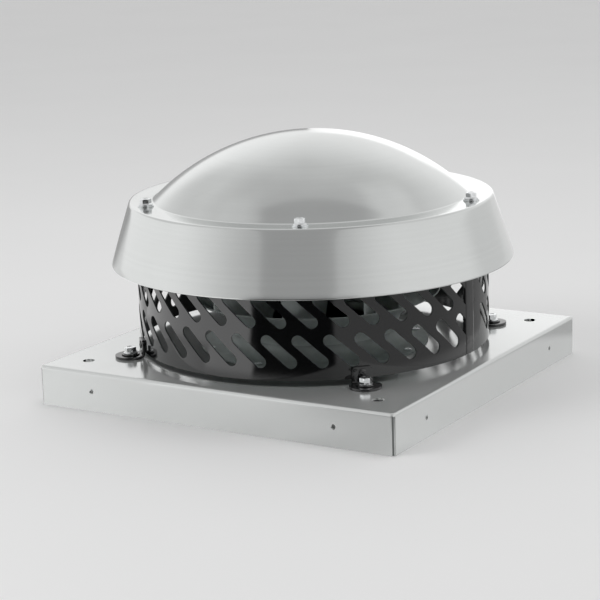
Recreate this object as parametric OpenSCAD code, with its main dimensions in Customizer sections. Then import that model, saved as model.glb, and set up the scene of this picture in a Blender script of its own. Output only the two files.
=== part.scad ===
// Centrifugal roof fan with a spun dome cowl, a slotted guard ring and a square base plate.
// The origin is the centre of the base plate's underside, +Z points up, and sizes are millimetres.

/* [Base plate] */
// Side of the square base plate
plate_side = 400; // [390:1:460]
// Height of the folded tray
plate_height = 40; // [34:1:60]
// Sheet thickness of the base plate
plate_sheet = 2; // [1.5:0.25:3]
// Outer radius of the folded top edges
plate_bend = 3; // [2.5:0.25:4]
// Outer radius of the vertical corners
corner_r = 4; // [3.25:0.25:6]
// Width of the groove where two folded sides meet
corner_gap = 4; // [3:0.25:5]
// Width of the tab behind each corner groove
tab_w = 14; // [12:1:20]
// Distance between the roof fixing holes
mount_pitch = 330; // [325:1:345]
// Diameter of the roof fixing holes
mount_hole_d = 12; // [8:0.5:14]
// Distance between the two holes in each upright side
side_pitch = 274; // [200:1:300]
// Diameter of the holes in the upright sides
side_hole_d = 5; // [4:0.5:7]

/* [Inlet nozzle] */
// Inside diameter of the nozzle's throat
throat_d = 164; // [140:1:170]
// Sheet thickness of the nozzle
nozzle_sheet = 1.5; // [1:0.25:2]
// Radius of the bell mouth, on the air side
nozzle_curve = 16; // [12:0.5:18]
// Straight length above the bell mouth
nozzle_collar = 6; // [5:0.5:8]
// Width of the nozzle's flat flange on the plate
nozzle_flange = 18; // [16:0.5:20]
// Number of rivets in the nozzle's flange
nozzle_rivets_n = 8; // [6:1:12]

/* [Guard ring] */
// Outside diameter of the guard ring
guard_d = 356; // [350:1:358]
// Sheet thickness of the guard ring
guard_sheet = 1.5; // [1:0.25:1.75]
// Gap between the base plate and the guard ring
guard_lift = 6; // [4:0.5:8]
// Height of the guard ring
guard_height = 142.5; // [140:0.5:150]
// Width of the inward flange at the guard ring's top
guard_flange = 20; // [18:0.5:24]
// Width of the slots
slot_w = 12; // [6:0.5:12.5]
// Overall length of the slots
slot_len = 42.5; // [30:0.5:43]
// Lean of the slots from the vertical, in degrees
slot_lean = 47.5; // [40:0.5:50]
// Angle from one slot to the next, in degrees
slot_step = 9.55; // [9.3:0.05:9.6]
// Number of slots in each row
slot_count = 37; // [30:1:37]
// Number of rows of slots
slot_rows = 3; // [1:1:3]
// Plain band below the lowest row
slot_band = 11.6; // [11:0.1:16]
// Plain band between two rows
slot_gap = 5.8; // [4:0.2:7]
// Angle by which each row of slots is turned from the row below it, in degrees
row_turn = -2.9; // [-4:0.1:0]
// Angle where the guard ring's lap seam starts
seam_angle = -3.5; // [-5:0.5:-2]
// Width of the lap seam
seam_w = 18; // [12:0.5:20]
// Depth and width of the groove along the lap seam's edge
seam_groove = 0.6; // [0.3:0.1:0.7]

/* [Lugs] */
// Sheet thickness of the lugs
lug_sheet = 2.5; // [2:0.25:3]
// Width of the lugs
lug_w = 20; // [16:0.5:24]
// Diameter of the round pad around the lug's bolt
lug_pad_d = 31; // [26:0.5:34]
// Height of the lug's upright leg above the plate
lug_leg = 17.5; // [16:0.5:18]
// Distance between the lug bolts along one side of the plate
lug_pitch = 270; // [266:0.5:272]

/* [Cowl] */
// Sheet thickness of the cowl
cowl_sheet = 1.5; // [1:0.25:2]
// Diameter of the skirt at its lower edge
skirt_bottom_d = 407; // [400:1:420]
// Diameter of the skirt at its upper edge
skirt_top_d = 366; // [365:1:372]
// Height of the skirt
skirt_height = 63; // [50:1:70]
// Width of the folded hem inside the skirt's lower edge
hem_h = 7; // [5:0.5:10]
// Outer radius of the bend between the skirt and the flange
cowl_bend = 3; // [2.5:0.25:4]
// Diameter of the dome where it meets the flange
dome_foot_d = 318; // [306:1:318]
// Rise of the dome above the flange
dome_rise = 64.4; // [60:0.2:90]
// Radius of the hollow fillet at the dome's foot
dome_fillet = 3.5; // [2:0.5:3.5]
// Number of cowl bolts
cowl_bolts_n = 5; // [4:1:8]
// Distance from the dome's foot to the middle of the cowl bolts
cowl_bolt_inset = 9.5; // [9.5:0.25:11]
// Angle of the first cowl bolt
cowl_bolt_angle = -62.5; // [-66:0.5:-58]

/* [Motor plate] */
// Sheet thickness of the motor plate
motor_plate_sheet = 2; // [1.5:0.25:3]
// Diameter of the motor plate
motor_plate_d = 354; // [350:0.5:356]

/* [Impeller] */
// Outside diameter of the impeller
impeller_d = 256; // [240:1:264]
// Height of the shroud's rim above the top of the base plate
rim_rise = 54; // [50:0.5:58]
// Width of the blades at the rim
blade_rim_w = 46; // [40:0.5:48]
// Sheet thickness of the impeller
impeller_sheet = 1.2; // [1:0.1:1.5]
// Radius of the shroud's curve, on the air side
shroud_curve = 24; // [20:0.5:26]
// Number of blades
blade_n = 10; // [7:1:11]
// Radius of the blades' curve
blade_curve = 95; // [85:1:110]
// Angle between a blade's tip and the rim, in degrees
blade_tip_angle = 40; // [35:1:48]
// Angle of the first blade's tip at rest
blade_phase = -72.6; // [-80:0.2:-60]
// Radius where the blades start at the back plate
blade_root_r = 74; // [72:0.5:78]

/* [Motor] */
// Outside diameter of the rotor bell
rotor_d = 92; // [90:1:96]
// Height of the rotor bell
rotor_h = 74; // [72:0.5:78]
// Wall thickness of the rotor bell
rotor_wall = 3.5; // [3:0.25:4]
// Floor thickness of the rotor bell
rotor_floor = 4; // [3:0.25:5]
// Diameter of the rotor bell's impeller flange
rotor_flange_d = 116; // [114:1:120]
// Thickness of the rotor bell's impeller flange
rotor_flange_t = 3; // [2.5:0.25:4]
// Gap between the rotor bell and the stator flange
rotor_gap = 4.5; // [3:0.5:6]
// Radial air gap between the stator and the rotor core
air_gap = 0.5; // [0.4:0.1:0.8]
// Radial thickness of the rotor core
rotor_core_t = 4; // [3:0.25:5]
// Height of the stator and rotor stacks
stack_h = 30; // [24:1:34]
// Diameter of the stator flange
stator_flange_d = 100; // [96:1:110]
// Thickness of the stator flange
stator_flange_t = 6; // [5:0.5:7]
// Wall thickness of the bearing tube
tube_wall = 4; // [3.5:0.25:5]
// Number of slots in the stator stack
stator_slots = 12; // [8:1:12]
// Height of the winding heads above and below the stack
winding_h = 9; // [7:0.5:10]

/* [Bearings and shaft] */
// Shaft diameter, and bore of the bearings
shaft_d = 12; // [10:0.5:12.5]
// Outside diameter of the bearings
bearing_d = 32; // [31:0.5:33]
// Width of the bearings
bearing_w = 10; // [9.5:0.25:11]
// Diameter of the bearing balls
ball_d = 5.8; // [5.4:0.1:6]
// Number of balls in each bearing
ball_n = 7; // [5:1:7]
// Thickness of the retaining ring
circlip_t = 1.2; // [1:0.1:1.5]
// Free height of the spring washer above the tube's shoulder
spring_h = 1.6; // [1.2:0.1:2]

/* [Fasteners] */
// Thread diameter of the lug and cowl bolts
bolt_d = 6; // [5:0.5:6.5]
// Width across flats of the bolts and nuts
bolt_af = 10; // [9:0.5:10.5]
// Flange diameter of the bolts
bolt_flange_d = 14.2; // [13:0.2:15]
// Head height of the bolts with their flange
bolt_head = 6.6; // [6:0.2:7.5]
// Length of the bolts under the head
bolt_len = 16; // [14:0.5:18]
// Height of the nuts
nut_h = 5; // [4.5:0.5:6]
// Thickness of the washers
washer_t = 1.2; // [1:0.1:1.6]
// Diameter of the cowl washers
cowl_washer_d = 16; // [13:0.5:16]
// Diameter of the lug washers
lug_washer_d = 18; // [16:0.5:20]
// Body diameter of the rivets
rivet_d = 4; // [3.2:0.1:4.8]
// Thread diameter of the small machine screws
screw_d = 4; // [3:0.5:4]

/* [Connection gear] */
// Length, width and height of the terminal box
box_l = 70; // [60:1:80]
box_w = 56; // [50:1:60]
box_h = 28; // [24:1:30]
// Wall thickness of the terminal box
box_wall = 2.5; // [2:0.25:3]
// Thickness of the terminal box's lid
lid_t = 3; // [2.5:0.25:4]
// Distance from the fan's axis to the terminal box
box_offset = 30; // [28:1:34]
// Diameter of the capacitor
cap_d = 30; // [25:1:34]
// Length of the capacitor
cap_len = 60; // [50:1:70]
// Thickness of the capacitor clamp
clamp_t = 1.2; // [1:0.1:1.5]
// Width of the capacitor clamp
clamp_w = 16; // [12:1:20]
// Diameter of the motor lead
lead_d = 6; // [5:0.5:7]

/* [Fits] */
// Radial clearance of bolts and screws in their holes
hole_fit = 0.3; // [0.2:0.05:0.5]
// Radial clearance of pressed, threaded and riveted fits
press_fit = 0.02; // [0.01:0.01:0.05]
// Radial running gap between the nozzle and the shroud
running_gap = 1.5; // [1:0.25:2.5]
// Overlap of the shroud's mouth over the nozzle
mouth_overlap = 6; // [4:0.5:8]
// Clearance of the blades from the sheets that carry them
blade_fit = 0.05; // [0.02:0.01:0.1]
// Running clearance of the bearing balls
ball_fit = 0.1; // [0.05:0.01:0.15]
// Gap between the stator flange's edge and the screws beside it
screw_gap = 6; // [4:0.5:8]
// Free length that a screw, lead or gland keeps past its neighbour
end_gap = 2; // [1:0.5:3]

/* [Hidden] */
$fn = 96;
small_fn = 32;
cut = 1;

plate_top = plate_height;
side_hole_z = plate_height / 2;
sides = [0, 90, 180, 270];
diagonals = [-45, 45, 135, 225];
lug_r = lug_pitch / sqrt(2);
tab_t = 1.5;
tab_weld = 0.2;
side_top = plate_height - plate_bend;
groove_r = (plate_side / 2 - corner_r) * sqrt(2) + corner_r - plate_sheet;

throat_r = throat_d / 2;
bell_r = throat_r + nozzle_curve;
bell_z = plate_top + nozzle_curve;
nozzle_top = bell_z + nozzle_collar;
nozzle_rim_r = bell_r + nozzle_flange;
opening_r = bell_r + 2;
nozzle_rivet_r = (opening_r + nozzle_rim_r) / 2;

guard_r = guard_d / 2;
guard_in_r = guard_r - guard_sheet;
guard_z = plate_top + guard_lift;
guard_top = guard_z + guard_height;
slot_run = slot_len - slot_w;
slot_rise = slot_run * cos(slot_lean) + slot_w;
row_step = slot_rise + slot_gap;
seam_turn = seam_w / guard_r * 180 / PI;
seam_inset = 0.1;
slot_past_seam = 0.3;
first_slot_angle = seam_angle + slot_past_seam;

lug_leg_top = plate_top + lug_leg;
lug_rivet_z = (guard_z + lug_leg_top) / 2;
lug_bearing_z = plate_top + lug_sheet + washer_t;

motor_plate_z = guard_top;
motor_plate_top = motor_plate_z + motor_plate_sheet;
cowl_z = motor_plate_top;
flange_top = cowl_z + cowl_sheet;
skirt_bottom_z = flange_top - skirt_height;
skirt_bottom_r = skirt_bottom_d / 2;
skirt_top_r = skirt_top_d / 2;
skirt_angle = atan((skirt_bottom_r - skirt_top_r) / skirt_height);
dome_foot_r = dome_foot_d / 2;
dome_r = (pow(dome_foot_r, 2) + pow(dome_rise, 2)) / (2 * dome_rise);
dome_z = flange_top + dome_rise - dome_r;
cowl_bolt_r = dome_foot_r + cowl_bolt_inset;
cowl_bearing_z = flange_top + washer_t;
cowl_bolt_angles = [for (i = [0:cowl_bolts_n - 1]) cowl_bolt_angle + i * 360 / cowl_bolts_n];

impeller_r = impeller_d / 2;
rim_z = plate_top + rim_rise;
back_z = rim_z + blade_rim_w;
back_top = back_z + impeller_sheet;
mouth_z = nozzle_top - mouth_overlap;
mouth_r = throat_r + nozzle_sheet + running_gap;
mouth_straight = 2;
curve_r = mouth_r + shroud_curve;
curve_z = mouth_z + mouth_straight;
rim_away = sqrt(pow(impeller_r - curve_r, 2) + pow(rim_z - curve_z, 2));
tangent_angle = atan2(rim_z - curve_z, impeller_r - curve_r) + acos(shroud_curve / rim_away);
tangent_r = curve_r + shroud_curve * cos(tangent_angle);
tangent_z = curve_z + shroud_curve * sin(tangent_angle);
blade_foot_r = mouth_r + 6;
blade_c = [impeller_r - blade_curve * cos(blade_tip_angle), -blade_curve * sin(blade_tip_angle)];

rotor_r = rotor_d / 2;
rotor_in_r = rotor_r - rotor_wall;
core_in_r = rotor_in_r - rotor_core_t;
stack_r = core_in_r - air_gap;
stator_flange_z = motor_plate_z - stator_flange_t;
rotor_top = stator_flange_z - rotor_gap;
rotor_z = rotor_top - rotor_h;
floor_top = rotor_z + rotor_floor;
hub_step = 6;
tube_z = floor_top + hub_step;
tube_r = bearing_d / 2 + tube_wall;
upper_bearing_z = stator_flange_z - bearing_w - 4;
shoulder_top = upper_bearing_z - spring_h;
stack_z = (rotor_z + rotor_top - stack_h) / 2 + 4;
shaft_r = shaft_d / 2;
shaft_top = upper_bearing_z + bearing_w + circlip_t + 3;
pitch_r = (shaft_d + bearing_d) / 4;
race_r = ball_d / 2 + ball_fit;
land = 0.7;
inner_land_r = pitch_r - ball_d / 2 + land;
outer_land_r = pitch_r + ball_d / 2 - land;
rotor_screw_r = (rotor_r + rotor_flange_d / 2) / 2;
rotor_screws_n = 6;
motor_screw_r = 30;
motor_screws_n = 4;
screw_head_h = 2.6;
screw_head_r = screw_d * 0.9;

box_z = motor_plate_top;
box_top = box_z + box_h;
cap_z = motor_plate_top + clamp_t + cap_d / 2;
gland_z = box_z + box_h / 2;
gland_y = -8;
gland_len = 12;
gland_r = lead_d / 2 + 3.4;
gland_thread_r = lead_d / 2 + 2;
gland_nut_r = lead_d / 2 + 5;
gland_nut_h = 5;
lead_hole_r = lead_d / 2 + 0.1;
cap_pin_d = 4;
cap_pin_len = 8;
cap_pin_pitch = 10;
grommet_hole_r = lead_d / 2 + 2.5;
grommet_at = [-4, -(tube_r + grommet_hole_r + 2 * end_gap)];
grommet_lip = 1.5;
grommet_rim = 2;
grommet_depth = stator_flange_t / 2;
lid_screw_len = 10;
lid_screw_depth = lid_screw_len + end_gap;
clamp_reach = 9;
cap_offset = stator_flange_d / 2 + screw_gap + clamp_reach + cap_d / 2;
clamp_screw_at = [for (s = [-1, 1]) [-cap_offset + s * (cap_d / 2 + clamp_reach), 0]];
box_screw_at = [for (x = [stator_flange_d / 2 + screw_gap, box_offset + box_l - 2 * screw_gap]) [x, 0]];
lid_post_r = 4;
lid_post_in = lid_post_r + end_gap / 2;
lid_screw_at = [for (x = [lid_post_in, box_l - lid_post_in], y = [-1, 1])
    [box_offset + x, y * (box_w / 2 - lid_post_in)]];

// The motor lead runs up through the grommet, bends over and runs level into the box
lead_bend = 12;
lead_foot = [grommet_at[0], grommet_at[1], stack_z + stack_h + winding_h + end_gap];
lead_rise = [grommet_at[0], grommet_at[1], motor_plate_top + grommet_lip + end_gap];
lead_mouth = [box_offset - gland_len - end_gap, gland_y, gland_z];
lead_end = [box_offset + box_wall + end_gap, gland_y, gland_z];
lead_steps = 8;

// Repeated shapes

module ring(r_out, r_in, h) {
    difference() {
        cylinder(r = r_out, h = h);
        translate([0, 0, -cut]) cylinder(r = r_in, h = h + 2 * cut);
    }
}

module around(n, first = 0) {
    for (i = [0:n - 1]) rotate(first + i * 360 / n) children();
}

module at_angles(angles, r, z) {
    for (a = angles) rotate(a) translate([r, 0, z]) children();
}

// Hexagon bolt with a flange, seated at z = 0 with its head upwards
module flange_bolt() {
    flange_h = 1.3;
    cone_h = 0.9;
    cylinder(r = bolt_flange_d / 2, h = flange_h, $fn = small_fn);
    translate([0, 0, flange_h])
        cylinder(r1 = bolt_flange_d / 2, r2 = bolt_af / 2, h = cone_h, $fn = small_fn);
    intersection() {
        cylinder(d = bolt_af / cos(30), h = bolt_head, $fn = 6);
        cylinder(r1 = bolt_af / 2 + bolt_head, r2 = bolt_af / 2, h = bolt_head, $fn = small_fn);
    }
    translate([0, 0, -bolt_len]) cylinder(r = bolt_d / 2, h = bolt_len + flange_h, $fn = small_fn);
}

// Hexagon nut that hangs under z = 0
module hex_nut() {
    translate([0, 0, -nut_h]) difference() {
        cylinder(d = bolt_af / cos(30), h = nut_h, $fn = 6);
        translate([0, 0, -cut])
            cylinder(r = bolt_d / 2 + press_fit, h = nut_h + 2 * cut, $fn = small_fn);
    }
}

module washer(d) {
    difference() {
        cylinder(d = d, h = washer_t, $fn = small_fn);
        translate([0, 0, -cut])
            cylinder(r = bolt_d / 2 + hole_fit, h = washer_t + 2 * cut, $fn = small_fn);
    }
}

// Pan head screw, seated at z = 0 with its head upwards
module pan_screw(len) {
    difference() {
        union() {
            cylinder(r = screw_head_r, h = screw_head_h * 0.6, $fn = small_fn);
            translate([0, 0, screw_head_h * 0.6])
                cylinder(r1 = screw_head_r, r2 = screw_head_r * 0.7, h = screw_head_h * 0.4,
                    $fn = small_fn);
        }
        for (a = [0, 90]) rotate(a)
            translate([-screw_head_r * 0.6, -0.4, screw_head_h * 0.5])
                cube([screw_head_r * 1.2, 0.8, screw_head_h]);
    }
    translate([0, 0, -len]) cylinder(r = screw_d / 2, h = len + cut / 2, $fn = small_fn);
}

// Blind rivet through a grip of sheet: domed head on z = 0, upset end below the grip
module blind_rivet(grip) {
    head_r = rivet_d;
    head_h = rivet_d * 0.3;
    intersection() {
        cylinder(r = head_r, h = head_h, $fn = small_fn);
        translate([0, 0, head_h - 2.2 * head_r]) sphere(r = 2.2 * head_r, $fn = small_fn);
    }
    translate([0, 0, -grip]) cylinder(r = rivet_d / 2, h = grip + head_h / 2, $fn = small_fn);
    translate([0, 0, -grip - rivet_d * 0.6])
        cylinder(r = rivet_d * 0.75, h = rivet_d * 0.6, $fn = small_fn);
}

// Base plate

// The tray's outline is drawn smaller by an inset for its hollow, which reaches below the rim

module rounded_top(inset) {
    w = plate_side - 2 * inset;
    h = plate_height - inset;
    r = plate_bend - inset;
    foot = inset > 0 ? cut : 0;
    translate([-w / 2, -foot]) square([w, h - r + foot]);
    translate([r - w / 2, -foot]) square([w - 2 * r, h + foot]);
    for (s = [-1, 1]) translate([s * (w / 2 - r), h - r]) circle(r);
}

module rounded_square(inset) {
    w = plate_side - 2 * inset;
    r = max(corner_r - inset, tab_weld);
    square([w, w - 2 * r], center = true);
    square([w - 2 * r, w], center = true);
    for (x = [-1, 1], y = [-1, 1]) translate([x * (w / 2 - r), y * (w / 2 - r)]) circle(r);
}

module tray_block(inset) {
    span = plate_side + 2 * cut;
    intersection() {
        rotate([90, 0, 0]) linear_extrude(span, center = true) rounded_top(inset);
        rotate([90, 0, 90]) linear_extrude(span, center = true) rounded_top(inset);
        translate([0, 0, -cut]) linear_extrude(plate_height + 2 * cut) rounded_square(inset);
    }
}

// Angles of sheet inside the four corners, welded behind the folded sides
module corner_tabs() {
    linear_extrude(side_top) intersection() {
        difference() {
            rounded_square(plate_sheet - tab_weld);
            rounded_square(plate_sheet + tab_t);
        }
        for (x = [-1, 1], y = [-1, 1])
            translate([x, y] * plate_side / 2) square(2 * tab_w, center = true);
    }
}

module base_plate() {
    hole_depth = plate_sheet + 2 * cut;
    color("silver") difference() {
        union() {
            difference() {
                tray_block(0);
                tray_block(plate_sheet);
            }
            corner_tabs();
        }
        at_angles(diagonals, groove_r, -cut) translate([0, -corner_gap / 2, 0])
            cube([corner_r, corner_gap, side_top + cut]);
        translate([0, 0, plate_top - plate_sheet - cut]) cylinder(r = opening_r, h = hole_depth);
        for (x = [-1, 1], y = [-1, 1])
            translate([x * mount_pitch / 2, y * mount_pitch / 2, plate_top - plate_sheet - cut])
                cylinder(d = mount_hole_d, h = hole_depth);
        at_angles(diagonals, lug_r, plate_top - plate_sheet - cut)
            cylinder(r = bolt_d / 2 + hole_fit, h = hole_depth);
        at_angles([for (i = [0:nozzle_rivets_n - 1]) i * 360 / nozzle_rivets_n],
            nozzle_rivet_r, plate_top - plate_sheet - cut)
            cylinder(r = rivet_d / 2 + press_fit, h = hole_depth);
        for (a = sides, s = [-1, 1]) rotate(a)
            translate([plate_side / 2 + cut, s * side_pitch / 2, side_hole_z])
                rotate([0, -90, 0]) cylinder(d = side_hole_d, h = hole_depth);
    }
}

// Inlet nozzle

// Part of a circular sheet profile between two angles, thickness measured inwards
module arc_sheet(r, t, from, to) {
    reach = 3 * r;
    intersection() {
        difference() {
            circle(r);
            circle(r - t);
        }
        polygon([[0, 0], reach * [cos(from), sin(from)],
            reach * [cos((from + to) / 2), sin((from + to) / 2)], reach * [cos(to), sin(to)]]);
    }
}

module inlet_nozzle() {
    color("gainsboro") difference() {
        rotate_extrude() {
            translate([bell_r, plate_top]) square([nozzle_flange, nozzle_sheet]);
            translate([bell_r, bell_z]) arc_sheet(nozzle_curve, nozzle_sheet, 180, 270);
            translate([throat_r, bell_z]) square([nozzle_sheet, nozzle_collar]);
        }
        around(nozzle_rivets_n) translate([nozzle_rivet_r, 0, plate_top - cut])
            cylinder(r = rivet_d / 2 + press_fit, h = nozzle_sheet + 2 * cut, $fn = small_fn);
    }
}

module nozzle_rivets() {
    color("silver") around(nozzle_rivets_n)
        translate([nozzle_rivet_r, 0, plate_top + nozzle_sheet]) blind_rivet(nozzle_sheet + plate_sheet);
}

// Guard ring

module slot_cutter() {
    depth = 6 * guard_sheet;
    rotate([90, 0, 90]) linear_extrude(depth, center = true) rotate(slot_lean) {
        square([slot_w, slot_run], center = true);
        for (s = [-1, 1]) translate([0, s * slot_run / 2]) circle(slot_w / 2, $fn = small_fn);
    }
}

module guard_wall() {
    difference() {
        cylinder(r = guard_r, h = guard_height);
        translate([0, 0, -cut]) cylinder(r = guard_in_r, h = guard_height + 2 * cut);
        for (row = [0:slot_rows - 1], i = [0:slot_count - 1])
            rotate(first_slot_angle - i * slot_step + row * row_turn)
                translate([guard_r - guard_sheet / 2, 0, slot_band + slot_rise / 2 + row * row_step])
                    slot_cutter();
    }
}

module guard_ring() {
    color("#202224") difference() {
        union() {
            translate([0, 0, guard_z]) guard_wall();
            translate([0, 0, guard_top - guard_sheet])
                ring(guard_r, guard_in_r - guard_flange, guard_sheet);
            translate([0, 0, guard_z]) rotate(seam_angle)
                rotate_extrude(angle = seam_turn)
                    translate([guard_in_r - guard_sheet, 0])
                        square([2 * guard_sheet - seam_inset, guard_height - guard_sheet / 2]);
        }
        translate([0, 0, guard_z - cut]) rotate(seam_angle)
            translate([guard_r - seam_groove, seam_groove, 0])
                cube([2 * seam_groove, seam_groove, guard_height + 2 * cut]);
        at_angles(cowl_bolt_angles, cowl_bolt_r, guard_top - guard_sheet - cut)
            cylinder(r = bolt_d / 2 + hole_fit, h = guard_sheet + 2 * cut, $fn = small_fn);
        at_angles(diagonals, guard_in_r - cut, lug_rivet_z) rotate([0, 90, 0])
            cylinder(r = rivet_d / 2 + press_fit, h = guard_sheet + 2 * cut, $fn = small_fn);
    }
}

// Lugs

module lug(angle) {
    color("#202224") rotate(angle) difference() {
        union() {
            translate([0, 0, plate_top]) linear_extrude(lug_sheet) difference() {
                union() {
                    translate([lug_r, 0]) circle(d = lug_pad_d);
                    translate([guard_r - cut, -lug_w / 2]) square([lug_r - guard_r + cut, lug_w]);
                }
                circle(guard_r);
            }
            intersection() {
                translate([0, 0, plate_top]) ring(guard_r + lug_sheet, guard_r, lug_leg);
                translate([guard_r - 2 * lug_sheet, -lug_w / 2, plate_top - cut])
                    cube([5 * lug_sheet, lug_w, lug_leg + 2 * cut]);
            }
        }
        translate([lug_r, 0, plate_top - cut])
            cylinder(r = bolt_d / 2 + hole_fit, h = lug_sheet + 2 * cut, $fn = small_fn);
        translate([guard_r - cut, 0, lug_rivet_z]) rotate([0, 90, 0])
            cylinder(r = rivet_d / 2 + press_fit, h = lug_sheet + 2 * cut, $fn = small_fn);
    }
}

module lug_rivets() {
    color("#202224") at_angles(diagonals, guard_r + lug_sheet, lug_rivet_z)
        rotate([0, 90, 0]) blind_rivet(lug_sheet + guard_sheet);
}

module lug_washers() {
    color("#202224") at_angles(diagonals, lug_r, plate_top + lug_sheet) washer(lug_washer_d);
}

module lug_bolts() {
    color("lightgray") at_angles(diagonals, lug_r, lug_bearing_z) flange_bolt();
}

module lug_nuts() {
    color("lightgray") at_angles(diagonals, lug_r, plate_top - plate_sheet) hex_nut();
}

// Cowl

module skirt_side(r_top, r_bottom) {
    polygon([[0, flange_top], [r_top, flange_top], [r_bottom, skirt_bottom_z], [0, skirt_bottom_z]]);
}

// Half section of the skirt and its flange, filled solid, with the bend rounded
module skirt_section(inset, bend) {
    side_inset = inset / cos(skirt_angle);
    top = flange_top - inset;
    slope = tan(skirt_angle);
    corner_r = skirt_top_r - side_inset + inset * slope;
    setback = bend * tan((90 - skirt_angle) / 2);
    bend_c = [corner_r - setback, top - bend];
    bottom_z = skirt_bottom_z - (inset > 0 ? cut : 0);
    touch = bend_c + bend * [cos(skirt_angle), sin(skirt_angle)];
    bottom_r = skirt_bottom_r - side_inset + (inset > 0 ? cut * slope : 0);
    polygon([[0, top], [bend_c[0], top], bend_c, touch, [bottom_r, bottom_z], [0, bottom_z]]);
    translate(bend_c) circle(bend);
}

// Half section of the dome above a level, with its hollow foot fillet
module dome_section(inset) {
    r = dome_r - inset;
    level = flange_top - inset;
    fillet = dome_fillet + inset;
    fillet_z = level + fillet;
    fillet_r = sqrt(pow(r + fillet, 2) - pow(fillet_z - dome_z, 2));
    touch = [fillet_r * r / (r + fillet), dome_z + (fillet_z - dome_z) * r / (r + fillet)];
    intersection() {
        translate([0, dome_z]) circle(r, $fn = 4 * $fn);
        translate([0, level - cut]) square([dome_foot_r + dome_fillet, dome_rise + 2 * cut]);
    }
    difference() {
        polygon([[0, level - cut], [fillet_r, level - cut], [fillet_r, level], touch, [0, touch[1]]]);
        translate([fillet_r, fillet_z]) circle(fillet);
    }
}

module half_plane() {
    translate([0, skirt_bottom_z - cut])
        square([skirt_bottom_r + cut, skirt_height + dome_rise + 2 * cut]);
}

module cowl() {
    color("lightgray") difference() {
        rotate_extrude() {
            intersection() {
                half_plane();
                difference() {
                    union() {
                        skirt_section(0, cowl_bend);
                        dome_section(0);
                    }
                    union() {
                        skirt_section(cowl_sheet, cowl_bend - cowl_sheet);
                        dome_section(cowl_sheet);
                    }
                }
            }
            hem_r = skirt_bottom_r - cowl_sheet / cos(skirt_angle);
            hem_t = cowl_sheet / cos(skirt_angle);
            hem_in = hem_h * tan(skirt_angle);
            polygon([
                [hem_r + 0.1, skirt_bottom_z], [hem_r + 0.1 - hem_in, skirt_bottom_z + hem_h],
                [hem_r - hem_t - hem_in, skirt_bottom_z + hem_h], [hem_r - hem_t, skirt_bottom_z]
            ]);
        }
        at_angles(cowl_bolt_angles, cowl_bolt_r, cowl_z - cut)
            cylinder(r = bolt_d / 2 + hole_fit, h = cowl_sheet + 2 * cut, $fn = small_fn);
    }
}

module cowl_washers() {
    color("lightgray") at_angles(cowl_bolt_angles, cowl_bolt_r, flange_top) washer(cowl_washer_d);
}

module cowl_bolts() {
    color("lightgray") at_angles(cowl_bolt_angles, cowl_bolt_r, cowl_bearing_z) flange_bolt();
}

module cowl_nuts() {
    color("lightgray") at_angles(cowl_bolt_angles, cowl_bolt_r, guard_top - guard_sheet) hex_nut();
}

// Motor plate

module motor_plate() {
    depth = motor_plate_sheet + 2 * cut;
    color("silver") translate([0, 0, motor_plate_z]) difference() {
        cylinder(d = motor_plate_d, h = motor_plate_sheet);
        at_angles(cowl_bolt_angles, cowl_bolt_r, -cut)
            cylinder(r = bolt_d / 2 + hole_fit, h = depth, $fn = small_fn);
        around(motor_screws_n, 45) translate([motor_screw_r, 0, -cut])
            cylinder(r = screw_d / 2 + hole_fit, h = depth, $fn = small_fn);
        translate([grommet_at[0], grommet_at[1], -cut])
            cylinder(r = grommet_hole_r, h = depth, $fn = small_fn);
        for (at = concat(clamp_screw_at, box_screw_at)) translate([at[0], at[1], -cut])
            cylinder(r = screw_d / 2 + press_fit, h = depth, $fn = small_fn);
    }
}

// Motor

module stator_flange() {
    color("darkgray") difference() {
        union() {
            translate([0, 0, stator_flange_z]) cylinder(d = stator_flange_d, h = stator_flange_t);
            translate([0, 0, tube_z]) cylinder(r = tube_r, h = stator_flange_z - tube_z + cut);
        }
        translate([0, 0, tube_z - cut])
            cylinder(r = bearing_d / 2 + press_fit, h = bearing_w + cut);
        translate([0, 0, tube_z])
            cylinder(r = bearing_d / 2 - 3, h = shoulder_top - tube_z + cut);
        translate([0, 0, shoulder_top])
            cylinder(r = bearing_d / 2 + press_fit, h = motor_plate_z - shoulder_top + cut);
        around(motor_screws_n, 45) translate([motor_screw_r, 0, stator_flange_z - cut])
            cylinder(r = screw_d / 2 + press_fit, h = stator_flange_t + 2 * cut, $fn = small_fn);
        translate([grommet_at[0], grommet_at[1], stator_flange_z - cut])
            cylinder(r = grommet_hole_r, h = stator_flange_t + 2 * cut, $fn = small_fn);
    }
}

module motor_screws() {
    color("lightgray") around(motor_screws_n, 45)
        translate([motor_screw_r, 0, motor_plate_top]) pan_screw(motor_plate_sheet + stator_flange_t);
}

slot_in_r = tube_r + 3;
slot_out_r = stack_r - 3;
slot_bar_w = 2 * slot_in_r * sin(180 / stator_slots) - 4.5;

module stator_slot(extra) {
    translate([slot_in_r - extra, -slot_bar_w / 2 - extra, stack_z - cut])
        cube([slot_out_r - slot_in_r + 2 * extra, slot_bar_w + 2 * extra, stack_h + 2 * cut]);
}

module stator_stack() {
    color("slategray") difference() {
        translate([0, 0, stack_z]) ring(stack_r, tube_r + press_fit, stack_h);
        around(stator_slots) stator_slot(0.2);
    }
}

module windings() {
    color("peru") {
        for (z = [stack_z - winding_h, stack_z + stack_h])
            translate([0, 0, z]) ring(slot_out_r, slot_in_r, winding_h);
        around(stator_slots) stator_slot(0);
    }
}

// Bearings

module race_groove(z) {
    translate([0, 0, z + bearing_w / 2]) rotate_extrude()
        translate([pitch_r, 0]) circle(race_r, $fn = small_fn);
}

module outer_race(z) {
    color("gray") difference() {
        translate([0, 0, z]) ring(bearing_d / 2, outer_land_r, bearing_w);
        race_groove(z);
    }
}

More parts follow.
